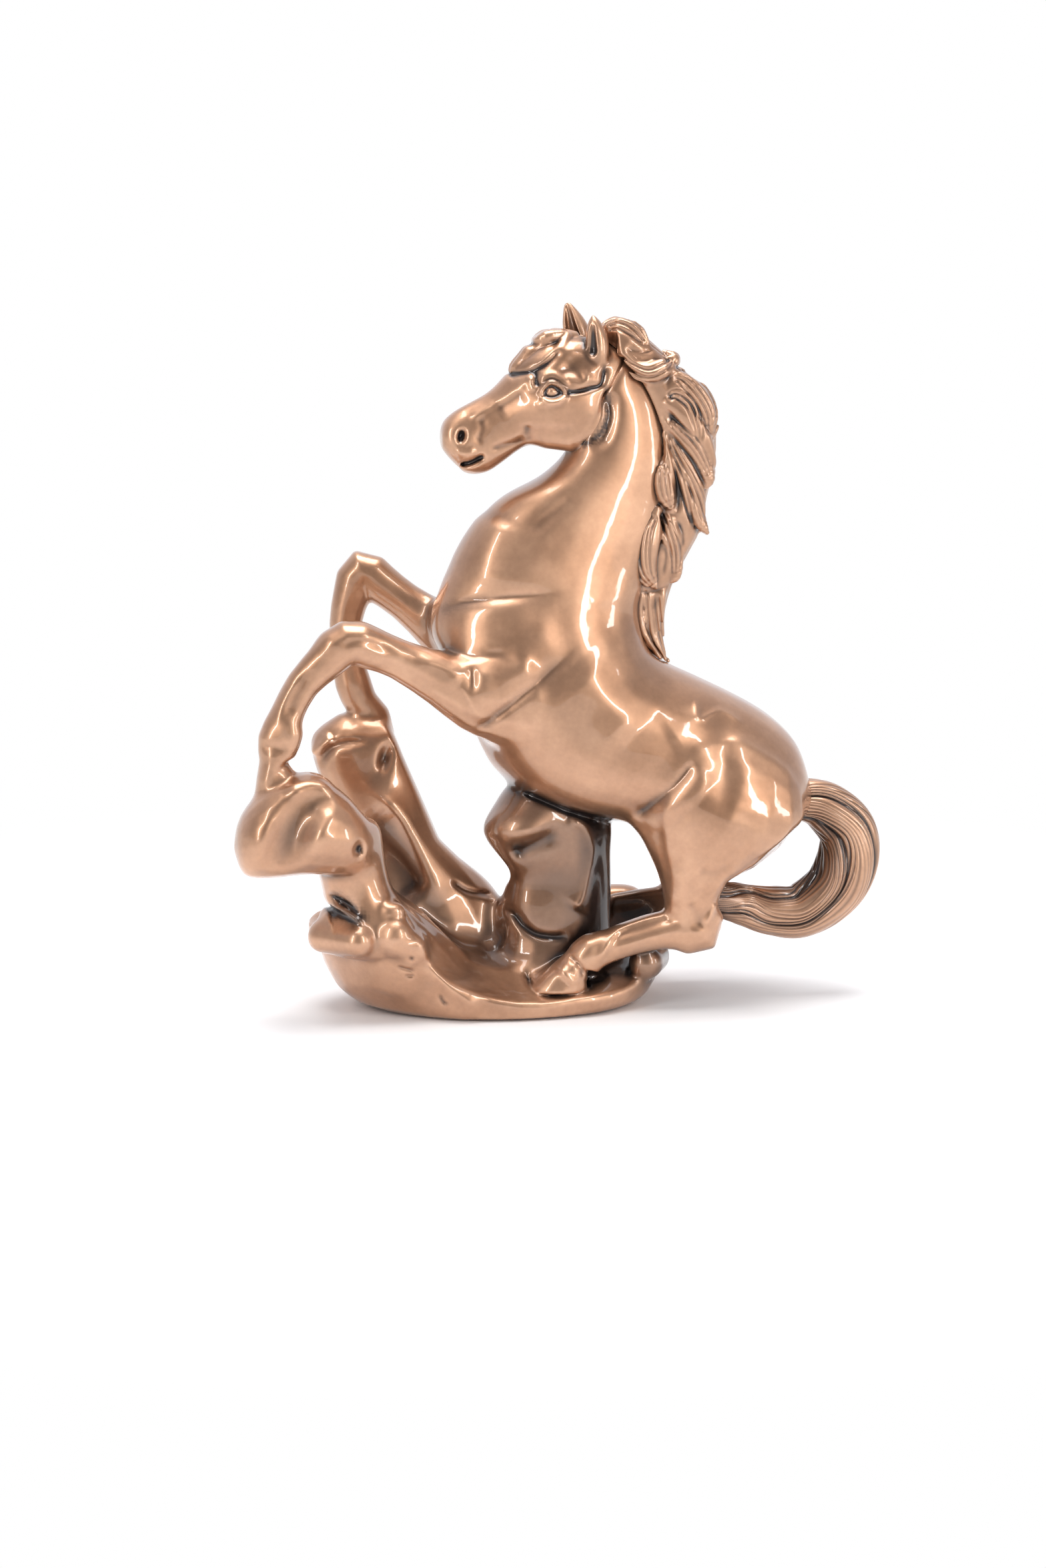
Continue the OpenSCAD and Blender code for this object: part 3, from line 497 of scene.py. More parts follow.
def new_piece(node, points, faces, normals, wash_and_shade, edge, slot):
    """The piece that stands for a CAD node, with its own normals and the paint's numbers at its points."""
    name = node + "_cast"
    faces = faces[main_part(faces)]
    used = np.unique(faces)
    index = np.zeros(len(points), np.int32)
    index[used] = np.arange(len(used))
    faces = index[faces].astype(np.int32)
    mesh = bpy.data.meshes.new(name)
    mesh.vertices.add(len(used))
    mesh.vertices.foreach_set("co", (points[used] * MM).astype(np.float32).ravel())
    mesh.loops.add(faces.size)
    mesh.loops.foreach_set("vertex_index", faces.ravel())
    mesh.polygons.add(len(faces))
    starts = np.arange(len(faces), dtype=np.int32) * faces.shape[1]
    mesh.polygons.foreach_set("loop_start", starts)
    mesh.update(calc_edges=True)
    mesh.shade_smooth()
    if normals is not None:
        mesh.normals_split_custom_set_from_vertices(normals[used])
    for key, numbers in (("wash_and_shade", wash_and_shade), ("edge", edge)):
        made = mesh.attributes.new(key, "FLOAT", "POINT")
        made.data.foreach_set("value", numbers[used].astype(np.float32))
    mesh.materials.append(PAINTS[slot])
    piece = bpy.data.objects.new(name, mesh)
    bpy.context.scene.collection.objects.link(piece)
    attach(piece, "root")
    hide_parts(node)


# The casting: horse and base on one grid. Drawn forms have pixels of the photograph and sizes in millimetres

CASTING = ["torso", "neck", "near_foreleg", "far_foreleg", "near_hind_leg", "far_hind_leg"]
BASE = ["plinth", "near_wave", "far_wave", "support_rock"]
BODY_LOW, BODY_HIGH = (-64, -28, -3), (67, 28, 147)
# the felt lies below the casting's flat underside
UNDERSIDE = 0.4

# Fillets where pieces meet, and the rounding of edges where something is cut away
NECK_FILLET, LEG_FILLET, TAIL_FILLET, WAVE_FILLET, FOOT_FILLET = 2.0, 4.0, 3.0, 5.0, 1.6
BULGE_FILLET, BRISKET_FILLET, KNOB_FILLET = 2.5, 3.5, 1.2
GAP_EDGE, DENT_EDGE, END_EDGE = 1.5, 2.0, 3.0
# the fillet on the base's floor, and what it loses towards the outer wall
FLOOR_FILLET, WALL_FILLET = 11.0, 3.0
ROCK_SHARE = 0.6
FLOOR_EDGE, FLOOR_FADE = 0.95, 0.4
# solids that only close a joint lie this far inside the piece that shows
HEAD_CORE, TAIL_CORE, PIN_CORE = 1.7, 1.3, 0.3
TAIL_CORE_END = 62.5
# how far horse and base are blurred: sharp places, the trunk, and the rock and trough
CRISP, SMOOTH, ROUND = 0.55, 1.0, 1.8
TRUNK_FADE = 4
# the rock and the trough between the waves: least and most x, least and most z, each with its fade
ROUND_PLACES = [((-8, 5), (24, 5), (14, 6), (999, 1)), ((-38, 4), (-8, 4), (24, 6), (48, 4))]

# Bulges that the solids lack: pixels, radii and the plane of constant y that they lie on
LEG_BULGES = [
    # stifle, near fetlock and far hind cannon
    ([(973, 1232), (992, 1266), (1012, 1310)], [3.0, 3.1, 2.8], -10.5),
    ([(434, 1090), (437, 1102), (435, 1112)], [1.8, 2.1, 1.9], -14.9),
    ([(922, 1354), (960, 1348), (1000, 1343)], [2.2, 2.3, 2.3], 12.0),
]
BRISKET = [(750, 1094), (764, 1122), (800, 1148)]
BRISKET_RADII = [4.1, 4.2, 4.2]
# the base's knobs, in the part's own frame
KNOBS = [
    ([(-40.0, -10.5, 17.4), (-34.2, -16.8, 17.6)], [3.9, 3.5]),
    ([(-27.6, -15.6, 23.2), (-26.4, -15.4, 23.2)], [2.2, 2.2]),
    ([(-26.6, -15.8, 18.2), (-24.2, -15.2, 15.4)], [4.2, 3.8]),
    ([(26.5, -9.0, 9.5), (29.0, -3.0, 9.5)], [3.6, 3.6]),
    ([on_plane(768, 1236, -4.5), on_plane(815, 1226, -5.5)], [3.6, 2.8]),
]
# outlines that are cut through the far wave and between gaskin and tail, and the depths they reach
WAVE_GAP = [(606, 1078), (625, 1125), (651, 1187), (675, 1244), (702, 1267), (750, 1298)]
WAVE_DEPTHS = range(2, 21, 3)
GASKIN_GAP = [(1218, 1250), (1183, 1287), (1141, 1320), (1107, 1337), (1101, 1352)]
GASKIN_DEPTHS = range(-18, 19, 3)
GAP_RADIUS = 3.0
# the dent between the near crest's two lobes, and how far out of the surface its middle lies
DENT = [(472, 1192), (458, 1216), (441, 1246), (424, 1280)]
DENT_RADIUS, DENT_Y = 5.5, -12
DENT_OUT = np.array([4.8, 3.3, 2.8, 3.6])
# the base in plan: its middle, and the half-sizes of its floor and of the left end that leans in
BASE_MIDDLE = (-5.0, 2.5)
FLOOR_HALF = (38, 21)
END_HALF = (35.6, 25)
END_LEAN, END_TOP, END_LIMIT = 0.3, 13, -12
END_START = 11

# Lines that are both cut in and darkened with wash and painted shade
CHEEK_RIM = [(903, 574), (910, 600), (910, 627), (901, 648), (884, 662), (868, 668)]
THROAT = [(914, 582), (917, 606), (916, 630), (905, 658), (883, 675)]
COLLAR = [(648, 916), (690, 905), (743, 897), (800, 892), (852, 888)]
ELBOW = [(704, 1093), (726, 1087), (745, 1073), (780, 1046), (825, 1008)]
FLANK = [(946, 1226), (979, 1205), (1021, 1168), (1043, 1138)]

# Lines have pixels, width and height, swells a pixel, two half-sizes and a height, and both other settings
FLESH_LINES = [
    # collar fold, chest and elbow
    (COLLAR, 0.9, -0.45, dict(side=0.25, reach=4, fade=0.35, sharp=True)),
    ([(655, 958), (690, 983), (740, 983), (795, 990)], 1.5, -0.4),
    ([(703, 996), (709, 1016), (705, 1048)], 1.0, -0.5, dict(fade=0.4)),
    (ELBOW + [(872, 962)], 1.1, -0.4, dict(side=0.5, reach=5, fade=0.2, sharp=True)),
    (ELBOW, 1.1, -0.5, dict(fade=0.4)),
    # barrel, belly and flank
    ([(858, 996), (890, 1032), (925, 1068), (960, 1102)], 5.0, 0.9, dict(sharp=True)),
    ([(1000, 1112), (1020, 1098), (1036, 1080), (1040, 1052)], 2.5, 0.35, dict(sharp=True)),
    (FLANK, 1.1, -0.6, dict(side=-0.5, reach=3, fade=0.2, sharp=True)),
    # haunch, buttock and gaskin
    ([(1042, 1046), (1048, 1076), (1080, 1064), (1116, 1086)], 0.5, 0.3, dict(fade=0.15, sharp=True)),
    (
        [(1205, 1235), (1180, 1258), (1143, 1284), (1098, 1312)],
        1.4, -0.5, dict(side=0.3, reach=4, sharp=True),
    ),
    ([(1044, 1303), (1070, 1309), (1104, 1300)], 1.4, -0.35),
    # neck
    ([(745, 770), (735, 820), (720, 882)], 4.0, 0.7, dict(sharp=True)),
    ([(870, 735), (830, 770), (790, 800)], 1.5, -0.35),
    (THROAT, 1.4, -1.0, dict(fade=0.3)),
]
FLESH_SWELLS = [
    # chest, shoulder, flank and haunch
    ((742, 946), 10, 5.5, 0.7, dict(flat=True)),
    ((724, 1012), 2.2, 3.4, 0.5),
    ((782, 999), 2.2, 2.2, 0.4),
    ((1086, 1150), 3.2, 9, -0.7),
    ((1075, 1225), 6, 6, 0.4),
]
# dark lines of wash and painted shade along the cheek's rim and the elbow, flank and collar folds
CREASE_WASH_AND_SHADE_LINES = [
    (CHEEK_RIM, 0.8, 1.0, dict(fade=0.1)),
    (ELBOW[:-1] + [(812, 1020)], 1.0, 0.3, dict(fade=0.4)),
    (FLANK, 1.2, 0.2),
    (COLLAR[:3], 1.0, 0.4),
]
LEG_LINES = [
    # near foreleg
    ([(510, 975), (530, 962), (560, 965), (600, 985)], 1.0, -0.4),
    ([(560, 990), (610, 1010), (660, 1040)], 1.6, -0.45),
    ([(620, 985), (668, 1000), (690, 1030)], 1.6, 0.4),
    ([(470, 1000), (445, 1040), (430, 1080)], 1.0, -0.3),
    ([(448, 1010), (425, 1050), (412, 1090)], 1.0, 0.3),
    ([(388, 1116), (415, 1122), (440, 1118)], 1.2, -0.35),
    ([(408, 1120), (404, 1150), (394, 1190)], 1.4, 0.35),
    # near hind leg: cannon, hock and gaskin
    ([(862, 1409), (925, 1391), (1007, 1366)], 0.8, 0.45),
    ([(905, 1410), (962, 1394), (1025, 1374)], 1.0, -0.5),
    ([(1052, 1392), (1066, 1368), (1073, 1352)], 0.8, 0.5),
    ([(1030, 1350), (1044, 1372), (1050, 1395)], 1.4, -0.5),
    ([(1010, 1300), (1018, 1330), (1005, 1360)], 1.6, 0.4),
    # its hoof
    ([(848, 1428), (862, 1440), (872, 1452), (873, 1468)], 0.6, -0.55),
    ([(876, 1452), (886, 1462), (897, 1466)], 0.45, -0.4),
    ([(872, 1462), (884, 1471), (895, 1474)], 0.45, -0.4),
    ([(835, 1440), (848, 1462), (866, 1476)], 0.8, 0.4),
]
LEG_SWELLS = [
    # knee, hock, fetlock and hoof
    ((492, 965), 3.2, 2.4, 0.5),
    ((545, 958), 3, 2.4, 0.45),
    ((1046, 1405), 2.4, 2.4, 0.4),
    ((878, 1428), 3.2, 3.2, 0.45),
    ((838, 1470), 2.2, 1.6, -0.3),
]
# the near side of rock, waves and floor
SHORE_LINES = [
    # rock: the crease below its knob, its right edge, the line under the belly and its foot
    ([(760, 1280), (785, 1271), (812, 1260), (852, 1243)], 2.2, -1.0),
    (
        [(850, 1222), (875, 1240), (886, 1265), (886, 1282), (880, 1312), (872, 1345), (860, 1365)],
        1.2, 1.0, dict(fade=0.1, sharp=True),
    ),
    ([(782, 1184), (820, 1202), (862, 1219), (900, 1229)], 0.5, -0.8, dict(fade=0.1)),
    ([(750, 1350), (775, 1375), (787, 1390), (807, 1402), (835, 1405), (855, 1400)], 0.9, -0.7),
    # near crest
    ([(458, 1222), (470, 1212), (488, 1206), (512, 1213)], 1.8, -0.45, dict(fade=0.4)),
    ([(424, 1196), (450, 1183), (480, 1178), (506, 1186)], 1.5, 0.6, dict(fade=0.3)),
    # the two slots in its stem
    ([(486, 1338), (505, 1348), (526, 1361), (545, 1378)], 0.8, -1.6, dict(fade=0.5, sharp=True)),
    ([(472, 1356), (492, 1364), (512, 1374), (534, 1387)], 1.1, -1.9, dict(fade=0.5, sharp=True)),
    ([(492, 1356), (520, 1368), (548, 1387)], 0.5, 0.6),
    # floor: the rim's ridge, scratches and the hoof's recess
    ([(622, 1392), (640, 1435), (672, 1477), (725, 1515)], 1.5, 1.1, dict(fade=0.15, sharp=True)),
    ([(594, 1448), (608, 1452), (622, 1456)], 0.35, -0.45),
    ([(606, 1462), (614, 1463), (622, 1461)], 0.35, -0.35),
    ([(658, 1488), (663, 1500), (672, 1506)], 0.35, -0.4),
    ([(786, 1450), (795, 1472), (812, 1485), (850, 1482), (890, 1474), (920, 1464)], 0.8, -1.0),
]
SHORE_SWELLS = [
    # rock
    ((785, 1243), 6.5, 3.4, 1.4, dict(turn=8)),
    ((825, 1315), 5, 5, -0.5),
    # the crest's lobes and its pit
    ((385, 1258), 4.5, 5, 0.8),
    ((508, 1262), 6, 4.5, 1.2),
    ((476, 1254), 3.4, 3.6, 0.6),
    ((538, 1273), 0.9, 1.3, -1.4),
    # a pit below the knobs, and the rim by the hoof
    ((617, 1437), 0.4, 0.5, -0.6),
    ((905, 1500), 5, 2, 0.5),
]
# painted shade on the base: in the crest's two slots, down the far wave's hollow face, on the floor by the
# rock's foot and in the dent between the crest's lobes
BASE_SHADE_LINES = [
    ([(490, 1334), (512, 1348), (535, 1366), (556, 1386)], 1.2, 0.7, dict(fade=0.2)),
    ([(482, 1358), (505, 1366), (525, 1378), (545, 1392)], 1.5, 0.8, dict(fade=0.2)),
    ([(566, 1210), (598, 1270), (630, 1340), (665, 1395)], 5.0, 0.22),
    ([(700, 1410), (740, 1440), (790, 1450)], 5.0, 0.2),
]
BASE_SHADE_SWELLS = [((446, 1238), 2.4, 6.5, 0.08, dict(turn=-27))]
# the far wave: the ridge down its back, its hollow face, its lip and its dimple
BREAKER_LINES = [
    (
        [(530, 1176), (585, 1206), (620, 1258), (648, 1318), (668, 1356)],
        2.4, 1.3, dict(fade=0.3, sharp=True),
    ),
    ([(560, 1230), (600, 1290), (638, 1350)], 4.0, -1.2),
    ([(470, 1146), (478, 1118), (500, 1102)], 1.1, 0.8, dict(fade=0.2)),
    ([(479, 1152), (492, 1126), (516, 1114), (556, 1112)], 0.8, -0.7, dict(fade=0.3)),
    ([(675, 1318), (700, 1336), (742, 1343)], 0.6, -0.4),
]
BREAKER_SWELLS = [((577, 1137), 1.3, 2.8, -1.0, dict(turn=-20))]
BREAKER_FRONT, BREAKER_BACK = 1, 12
# fine and broad hollows that hold the wash, a wide one whose darkening is painted shade in deep recesses
# between and under parts, and the height of bare edges
BODY_HOLLOWS = [(0.5, 0.25, 0.6), (1.5, 0.8, 0.6), (3.5, 1.76, 0.8)]
BODY_EDGE = 0.2
# painted shade on the rock and what lies near it: how far from the rock this begins, its darkness, and where
# in x the rock's darker, shaded right side begins
ROCK_SHADE_REACH, ROCK_SHADE_FADE = 6, 5
ROCK_SHADE = 0.5
ROCK_SHADED_SIDE, ROCK_SHADED_SIDE_FADE = 12, 4
# a face belongs to the solid this far below it
OWNER_DEPTH = 0.4
# painted shadow on the darkest places inside the base, at its right end under and behind the near hind leg:
# middle, half-size and how dark
PAINTED_SHADOWS = [
    ((25.0, -2.0, 11.0), (10.0, 11.0, 8.5), 0.9),
    ((27.0, 8.5, 18.0), (10.0, 5.0, 6.0), 0.95),
    ((29.0, -5.0, 9.0), (5.0, 7.0, 5.0), 0.45),
]
# painted shadows reach this many half-sizes out
PAINTED_SHADOW_EDGE = 1.4


def base_oval(x, y, half_x, half_y):
    """How far out places lie in the base's plan, with 1 on an oval of the given half-sizes."""
    return np.sqrt(((x - BASE_MIDDLE[0]) / half_x) ** 2 + ((y - BASE_MIDDLE[1]) / half_y) ** 2)


body = Field(BODY_LOW, BODY_HIGH, BODY_STEP)
body_x, body_y, body_z = body.x[:, None, None], body.y[None, :, None], body.z[None, None, :]
parts = {name: body.cad(name) for name in CASTING + BASE + ["head"]}
pins = body.cad(*[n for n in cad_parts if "dowel" in n])
owner = body.nearest([parts[name] for name in CASTING + BASE])

legs = np.minimum.reduce([parts[n] for n in CASTING if n.endswith("leg")])
for pixels, radii, y in LEG_BULGES:
    body.add_rods(legs, all_on_plane(pixels, y), radii, BULGE_FILLET)
trunk = weld(parts["torso"], parts["neck"], NECK_FILLET)
trunk = weld(trunk, parts["head"] + HEAD_CORE, NECK_FILLET)
body.add_rods(trunk, all_on_plane(BRISKET, 0), BRISKET_RADII, BRISKET_FILLET, margin=5.0)
# the rump closes round the tail's root
root = np.maximum(body.cad("tail") + TAIL_CORE, body_x - TAIL_CORE_END)
trunk = weld(trunk, root, TAIL_FILLET)
horse = np.minimum(weld(trunk, legs, LEG_FILLET), pins + PIN_CORE)
smooth = body.blur(horse, SMOOTH)
crisp = body.blur(horse, CRISP)
horse = crisp + (smooth - crisp) * rise(legs - trunk, -TRUNK_FADE / 2, TRUNK_FADE)

# wide fillets on the base's floor, narrow ones at its outer wall
inward = rise(-base_oval(body_x, body_y, *FLOOR_HALF), -FLOOR_EDGE, FLOOR_FADE)
fillet = (WALL_FILLET + (FLOOR_FILLET - WALL_FILLET) * inward).astype(np.float32)
ground = weld(parts["plinth"], parts["support_rock"], ROCK_SHARE * fillet)
ground = weld(ground, weld(parts["near_wave"], parts["far_wave"], WAVE_FILLET), fillet)
for spots, radii in KNOBS:
    body.add_rods(ground, spots, radii, KNOB_FILLET)
# the base's left end leans in below its knob
end = END_HALF[0] * (1 - base_oval(body_x, body_y, *END_HALF)) - END_LEAN * (END_START - body_z)
end = np.maximum(np.maximum(end, body_z - END_TOP), body_x - END_LIMIT)
ground = carve(ground, end.astype(np.float32), END_EDGE)
ground = np.minimum(ground, pins + PIN_CORE)
smooth = body.blur(ground, ROUND)
crisp = body.blur(ground, CRISP)
# the rock and the trough between the waves are rounded more than the rest
rounded = np.zeros(1, np.float32)
for left, right, low, high in ROUND_PLACES:
    across = rise(body_x, *left) * rise(-body_x, -right[0], right[1])
    rounded = np.maximum(rounded, across * rise(body_z, *low) * rise(-body_z, -high[0], high[1]))
ground = crisp + (smooth - crisp) * rounded.astype(np.float32)
del smooth, crisp, root, end

# the far wave's back and the gap between gaskin and tail have the outline that the photograph shows
for solid, pixels, depths in ((ground, WAVE_GAP, WAVE_DEPTHS), (horse, GASKIN_GAP, GASKIN_DEPTHS)):
    for y in depths:
        body.cut_rods(solid, all_on_plane(pixels, y), [GAP_RADIUS] * len(pixels), GAP_EDGE)
spots = np.array([body.seen(ground, px, py, DENT_Y) for px, py in DENT])
spots = smooth_line(spots + body.slope(ground, spots) * DENT_OUT[:, None], 4)
body.cut_rods(ground, spots, [DENT_RADIUS] * len(spots), DENT_EDGE)

# the horse is the same on both sides, apart from its near legs
Relief(body, horse, FLESH_LINES, FLESH_SWELLS).press(horse)
# wash and painted shade along the folds, only sampled, not pressed in
crease_wash_and_shade = Relief(body, horse, CREASE_WASH_AND_SHADE_LINES)
Relief(body, horse, LEG_LINES, LEG_SWELLS).press(horse, back=0)
Relief(body, ground, SHORE_LINES, SHORE_SWELLS).press(ground, back=0)
# painted shade on the base, only sampled, not pressed in
base_shade = Relief(body, ground, BASE_SHADE_LINES, BASE_SHADE_SWELLS)
Relief(body, ground, BREAKER_LINES, BREAKER_SWELLS).press(ground, BREAKER_FRONT, BREAKER_BACK)

figure = np.maximum(weld(horse, ground, FOOT_FILLET), UNDERSIDE - body_z).astype(np.float32)
del horse, ground
points, quads, out = body.surface(figure)
# wash in the hollows, and painted shade in the wide, deep recesses
wash_and_shade, edge = wash_shade_and_wear(body, figure, points, BODY_HOLLOWS, BODY_EDGE)
# painted shade, darker on the rock and what lies near it, most of all on the rock's shaded right side, and
# painted shadow inside the base's right end
# painted shade on and near the rock
rock = rise(-body.sample(parts["support_rock"], points), -ROCK_SHADE_REACH, ROCK_SHADE_FADE)
wash_and_shade += rock * (ROCK_SHADE + ROCK_SHADE * rise(points[:, 0], ROCK_SHADED_SIDE, ROCK_SHADED_SIDE_FADE))
# painted shadow inside the base's right end
for middle, size, dark in PAINTED_SHADOWS:
    away = np.linalg.norm((points - np.array(middle)) / np.array(size), axis=1)
    wash_and_shade += dark * rise(-away, -PAINTED_SHADOW_EDGE, 1)
# wash and painted shade along the folds, and painted shade on the base
wash_and_shade += crease_wash_and_shade.at(points) + base_shade.at(points)
below = points[quads].mean(1) - OWNER_DEPTH * out[quads[:, 0]]
label = vote(owner[body.cells(below)], quads)
for number, name in enumerate(CASTING + BASE):
    new_piece(name, points, quads[label == number], out, wash_and_shade, edge, "bronze_resin")


# The head, ears and forelock, on a finer grid

HEAD_LOW, HEAD_HIGH = (-19, -12, 106), (27, 12, 149)
HEAD_PIECES = {
    "head": "bronze_resin",
    "near_ear": "bronze_resin",
    "far_ear": "bronze_resin",
    "forelock": "bronze_hair",
}
HEAD_NUMBER, FORELOCK_NUMBER = 0, 3
# the neck fills the head only this deep below the head's surface
NECK_IN_HEAD, NECK_SUNK = 3.5, 0.5
HEAD_BLUR, TUFT_BLUR = 0.5, 0.3
TUFT_FILLET, JAW_FILLET, LOCK_FILLET, LID_FILLET = 0.4, 1.5, 0.35, 0.15
JAW = [(795, 652), (820, 655), (850, 657), (878, 647), (895, 630)]
JAW_RADII = [1.4, 2.1, 2.3, 2.1, 1.5]
JAW_Y = -3.4
# the forelock's locks: pixels, radii, and the share of the radius that lies in the brow
FORELOCKS = [
    ([(847, 499), (820, 507), (795, 522), (776, 541), (761, 560)], [0.9, 1.5, 1.7, 1.4, 0.3], 0.7),
    ([(852, 503), (838, 524), (820, 540), (800, 553)], [0.8, 1.0, 0.9, 0.3], 0.4),
    ([(842, 498), (818, 502), (798, 513)], [0.8, 1.3, 0.3], 0.5),
]
BROW_Y = -1.5
EYE_CREASE = [(846, 589), (865, 587), (885, 582), (901, 576), (905, 556), (903, 544)]
FACE_LINES = [
    # the throat, the cheek's rim, the crease from the eye to the ear, and the jaw
    (THROAT, 1.4, -1.0, dict(fade=0.3)),
    (CHEEK_RIM, 0.7, -1.2, dict(fade=0.3, sharp=True)),
    (EYE_CREASE, 0.4, -0.9, dict(fade=0.08, sharp=True)),
    ([(795, 664), (790, 650), (791, 634)], 0.9, -0.4),
    ([(798, 605), (815, 606), (832, 604), (852, 597)], 0.7, 0.35),
    ([(790, 654), (775, 662), (752, 669), (732, 675)], 0.8, -0.4),
    # brow and the corner of the eye
    ([(804, 578), (814, 565), (830, 561), (845, 570), (856, 584)], 0.7, 0.45),
    ([(803, 556), (804, 568), (804, 582)], 0.6, -0.6),
    ([(796, 560), (797, 575), (800, 588)], 0.7, 0.35),
    # temple, and the forelock's edge on the brow
    ([(842, 560), (858, 569), (871, 575), (879, 566), (873, 549)], 0.9, 0.45),
    (
        [(758, 563), (780, 560), (802, 556), (824, 541), (842, 522)],
        0.45, -0.7, dict(side=0.3, reach=2, fade=0.12, sharp=True),
    ),
    # nose, nostril and mouth
    ([(800, 563), (770, 587), (740, 605), (716, 620), (702, 633)], 0.9, 0.4),
    ([(788, 585), (765, 603), (742, 618)], 1.8, -0.35),
    ([(716, 622), (724, 638), (720, 655), (714, 668)], 1.0, -0.25),
    ([(689, 696), (697, 696), (708, 693), (718, 688), (728, 682)], 0.5, -1.3, dict(fade=0.2)),
    ([(680, 676), (697, 680), (716, 676)], 0.8, 0.4),
    ([(690, 701), (708, 702), (728, 693)], 0.9, 0.35),
]
FACE_SWELLS = [
    # cheek and eye
    ((850, 624), 7.2, 6.4, 1.0, dict(flat=True)),
    ((830, 587), 2.4, 1.4, -0.6, dict(flat=True)),
    # temple and forelock
    ((856, 550), 2.4, 2.0, -0.6),
    ((852, 524), 2.6, 1.8, 0.5),
    ((888, 562), 2.6, 3.2, 0.5),
    ((797, 515), 1.0, 0.6, -0.9),
    # nostril
    ((692, 654), 0.72, 1.2, -1.9, dict(turn=-12)),
]
# wash and painted shade at the cheek's rim, the crease from the eye, the upper lid, under the forelock and by
# the ear
FACE_WASH_AND_SHADE_LINES = [
    (CHEEK_RIM, 0.7, 1.2, dict(fade=0.1)),
    (EYE_CREASE, 0.6, 0.5, dict(fade=0.1)),
    ([(806, 584), (816, 574), (830, 570), (846, 580), (856, 592)], 0.7, 0.5, dict(fade=0.2)),
]
FACE_WASH_AND_SHADE_SWELLS = [((800, 548), 3.5, 2.0, 0.4, dict(turn=20)), ((880, 525), 2.0, 4.0, 0.5)]
# upper lid, the slit below it and lower lid
LID_LINES = [
    ([(808, 595), (815, 581), (826, 573), (839, 579), (851, 591)], 0.42, 0.75, dict(fade=0.1)),
    ([(816, 589), (820, 582), (827, 579), (836, 583), (846, 591)], 0.24, -0.35, dict(fade=0.1)),
    ([(809, 596), (822, 602), (836, 601), (851, 593)], 0.42, 0.55, dict(fade=0.1)),
]
EYEBALL = (827, 587)
EYEBALL_RADIUS, EYEBALL_SUNK = 1.6, 1.0
# the near ear is a leaf of rods, and both ears have a hollow from root to tip
NEAR_EAR = [(897, 548), (896, 530), (895, 510), (892, 492), (889, 474)]
NEAR_EAR_RADII = [1.8, 2.3, 2.3, 1.7, 0.4]
NEAR_EAR_Y = -4.6
NEAR_HOLLOW = [on_plane(887, 526, -6.4), on_plane(888, 486, -6.0)]
NEAR_HOLLOW_RADII = [1.1, 0.4]
FAR_HOLLOW = [(13.0, 3.5, 137.6), (11.64, 5.24, 144.68)]
FAR_HOLLOW_RADII = [1.5, 0.4]
EAR_SWELL, EAR_FILLET = 0.1, 0.8
HEAD_HOLLOWS = [(0.35, 0.14, 0.8), (1.0, 0.45, 0.8)]
HEAD_EDGE = 0.12

head = Field(HEAD_LOW, HEAD_HIGH, HEAD_STEP)
solids = {name: head.cad(name) for name in HEAD_PIECES}
owner = head.nearest(solids.values())
skull = solids["head"]
skull = np.minimum(skull, np.maximum(head.cad("neck") + NECK_SUNK, skull - NECK_IN_HEAD))
pins = head.cad("head_dowel", "neck_dowel", "mane_dowels")
skull = head.blur(np.minimum(skull, pins + PIN_CORE), HEAD_BLUR)
skull = weld(skull, head.blur(solids["forelock"], TUFT_BLUR), TUFT_FILLET)
for side in (-1, 1):
    jaw = all_on_plane(JAW, JAW_Y) * (1, -side, 1)
    head.add_rods(skull, jaw, JAW_RADII, JAW_FILLET, margin=3.0)
# the forelock lies over the brow, on both sides
for pixels, radii, sunk in FORELOCKS:
    spots = np.array([head.seen(skull, px, py, BROW_Y) for px, py in pixels])
    spots = smooth_line(spots - head.slope(skull, spots) * np.array(radii)[:, None] * sunk, 3)
    for side in (1, -1):
        box, lock = head.rods(spots * (1, side, 1), smooth_line(radii, 3), margin=1.0)
        part = owner[box]
        part[(lock < skull[box]) & (part == HEAD_NUMBER)] = FORELOCK_NUMBER
        skull[box] = weld(skull[box], lock, LOCK_FILLET)
Relief(head, skull, FACE_LINES, FACE_SWELLS).press(skull)
crease_wash_and_shade = Relief(head, skull, FACE_WASH_AND_SHADE_LINES, FACE_WASH_AND_SHADE_SWELLS)

# the eyeballs are set back under the lids
spot = head.seen(skull, *EYEBALL)
for side in (-1, 1):
    middle = np.array([spot[0], side * (abs(spot[1]) - EYEBALL_SUNK), spot[2]])
    head.add_rods(skull, [middle, middle], [EYEBALL_RADIUS] * 2, LID_FILLET, margin=0.6)
Relief(head, skull, LID_LINES).press(skull)

# the ears are cupped, open to the front and outwards
near_ear = np.full(head.shape, REACH, np.float32)
leaf = smooth_line(all_on_plane(NEAR_EAR, NEAR_EAR_Y), 4)
box, near_ear_leaf = head.rods(leaf, smooth_line(NEAR_EAR_RADII, 4))
near_ear[box] = near_ear_leaf
far_ear = head.blur(solids["far_ear"], HEAD_STEP) - EAR_SWELL
for ear, path, radii in (
    (near_ear, NEAR_HOLLOW, NEAR_HOLLOW_RADII),
    (far_ear, FAR_HOLLOW, FAR_HOLLOW_RADII),
):
    box, hollow = head.rods(path, radii, margin=1.0)
    ear[box] = np.maximum(ear[box], -hollow)
    skull = weld(skull, ear, EAR_FILLET)
skull = head.blur(skull, HEAD_STEP)

points, quads, out = head.surface(skull)
wash_and_shade, edge = wash_shade_and_wear(head, skull, points, HEAD_HOLLOWS, HEAD_EDGE)
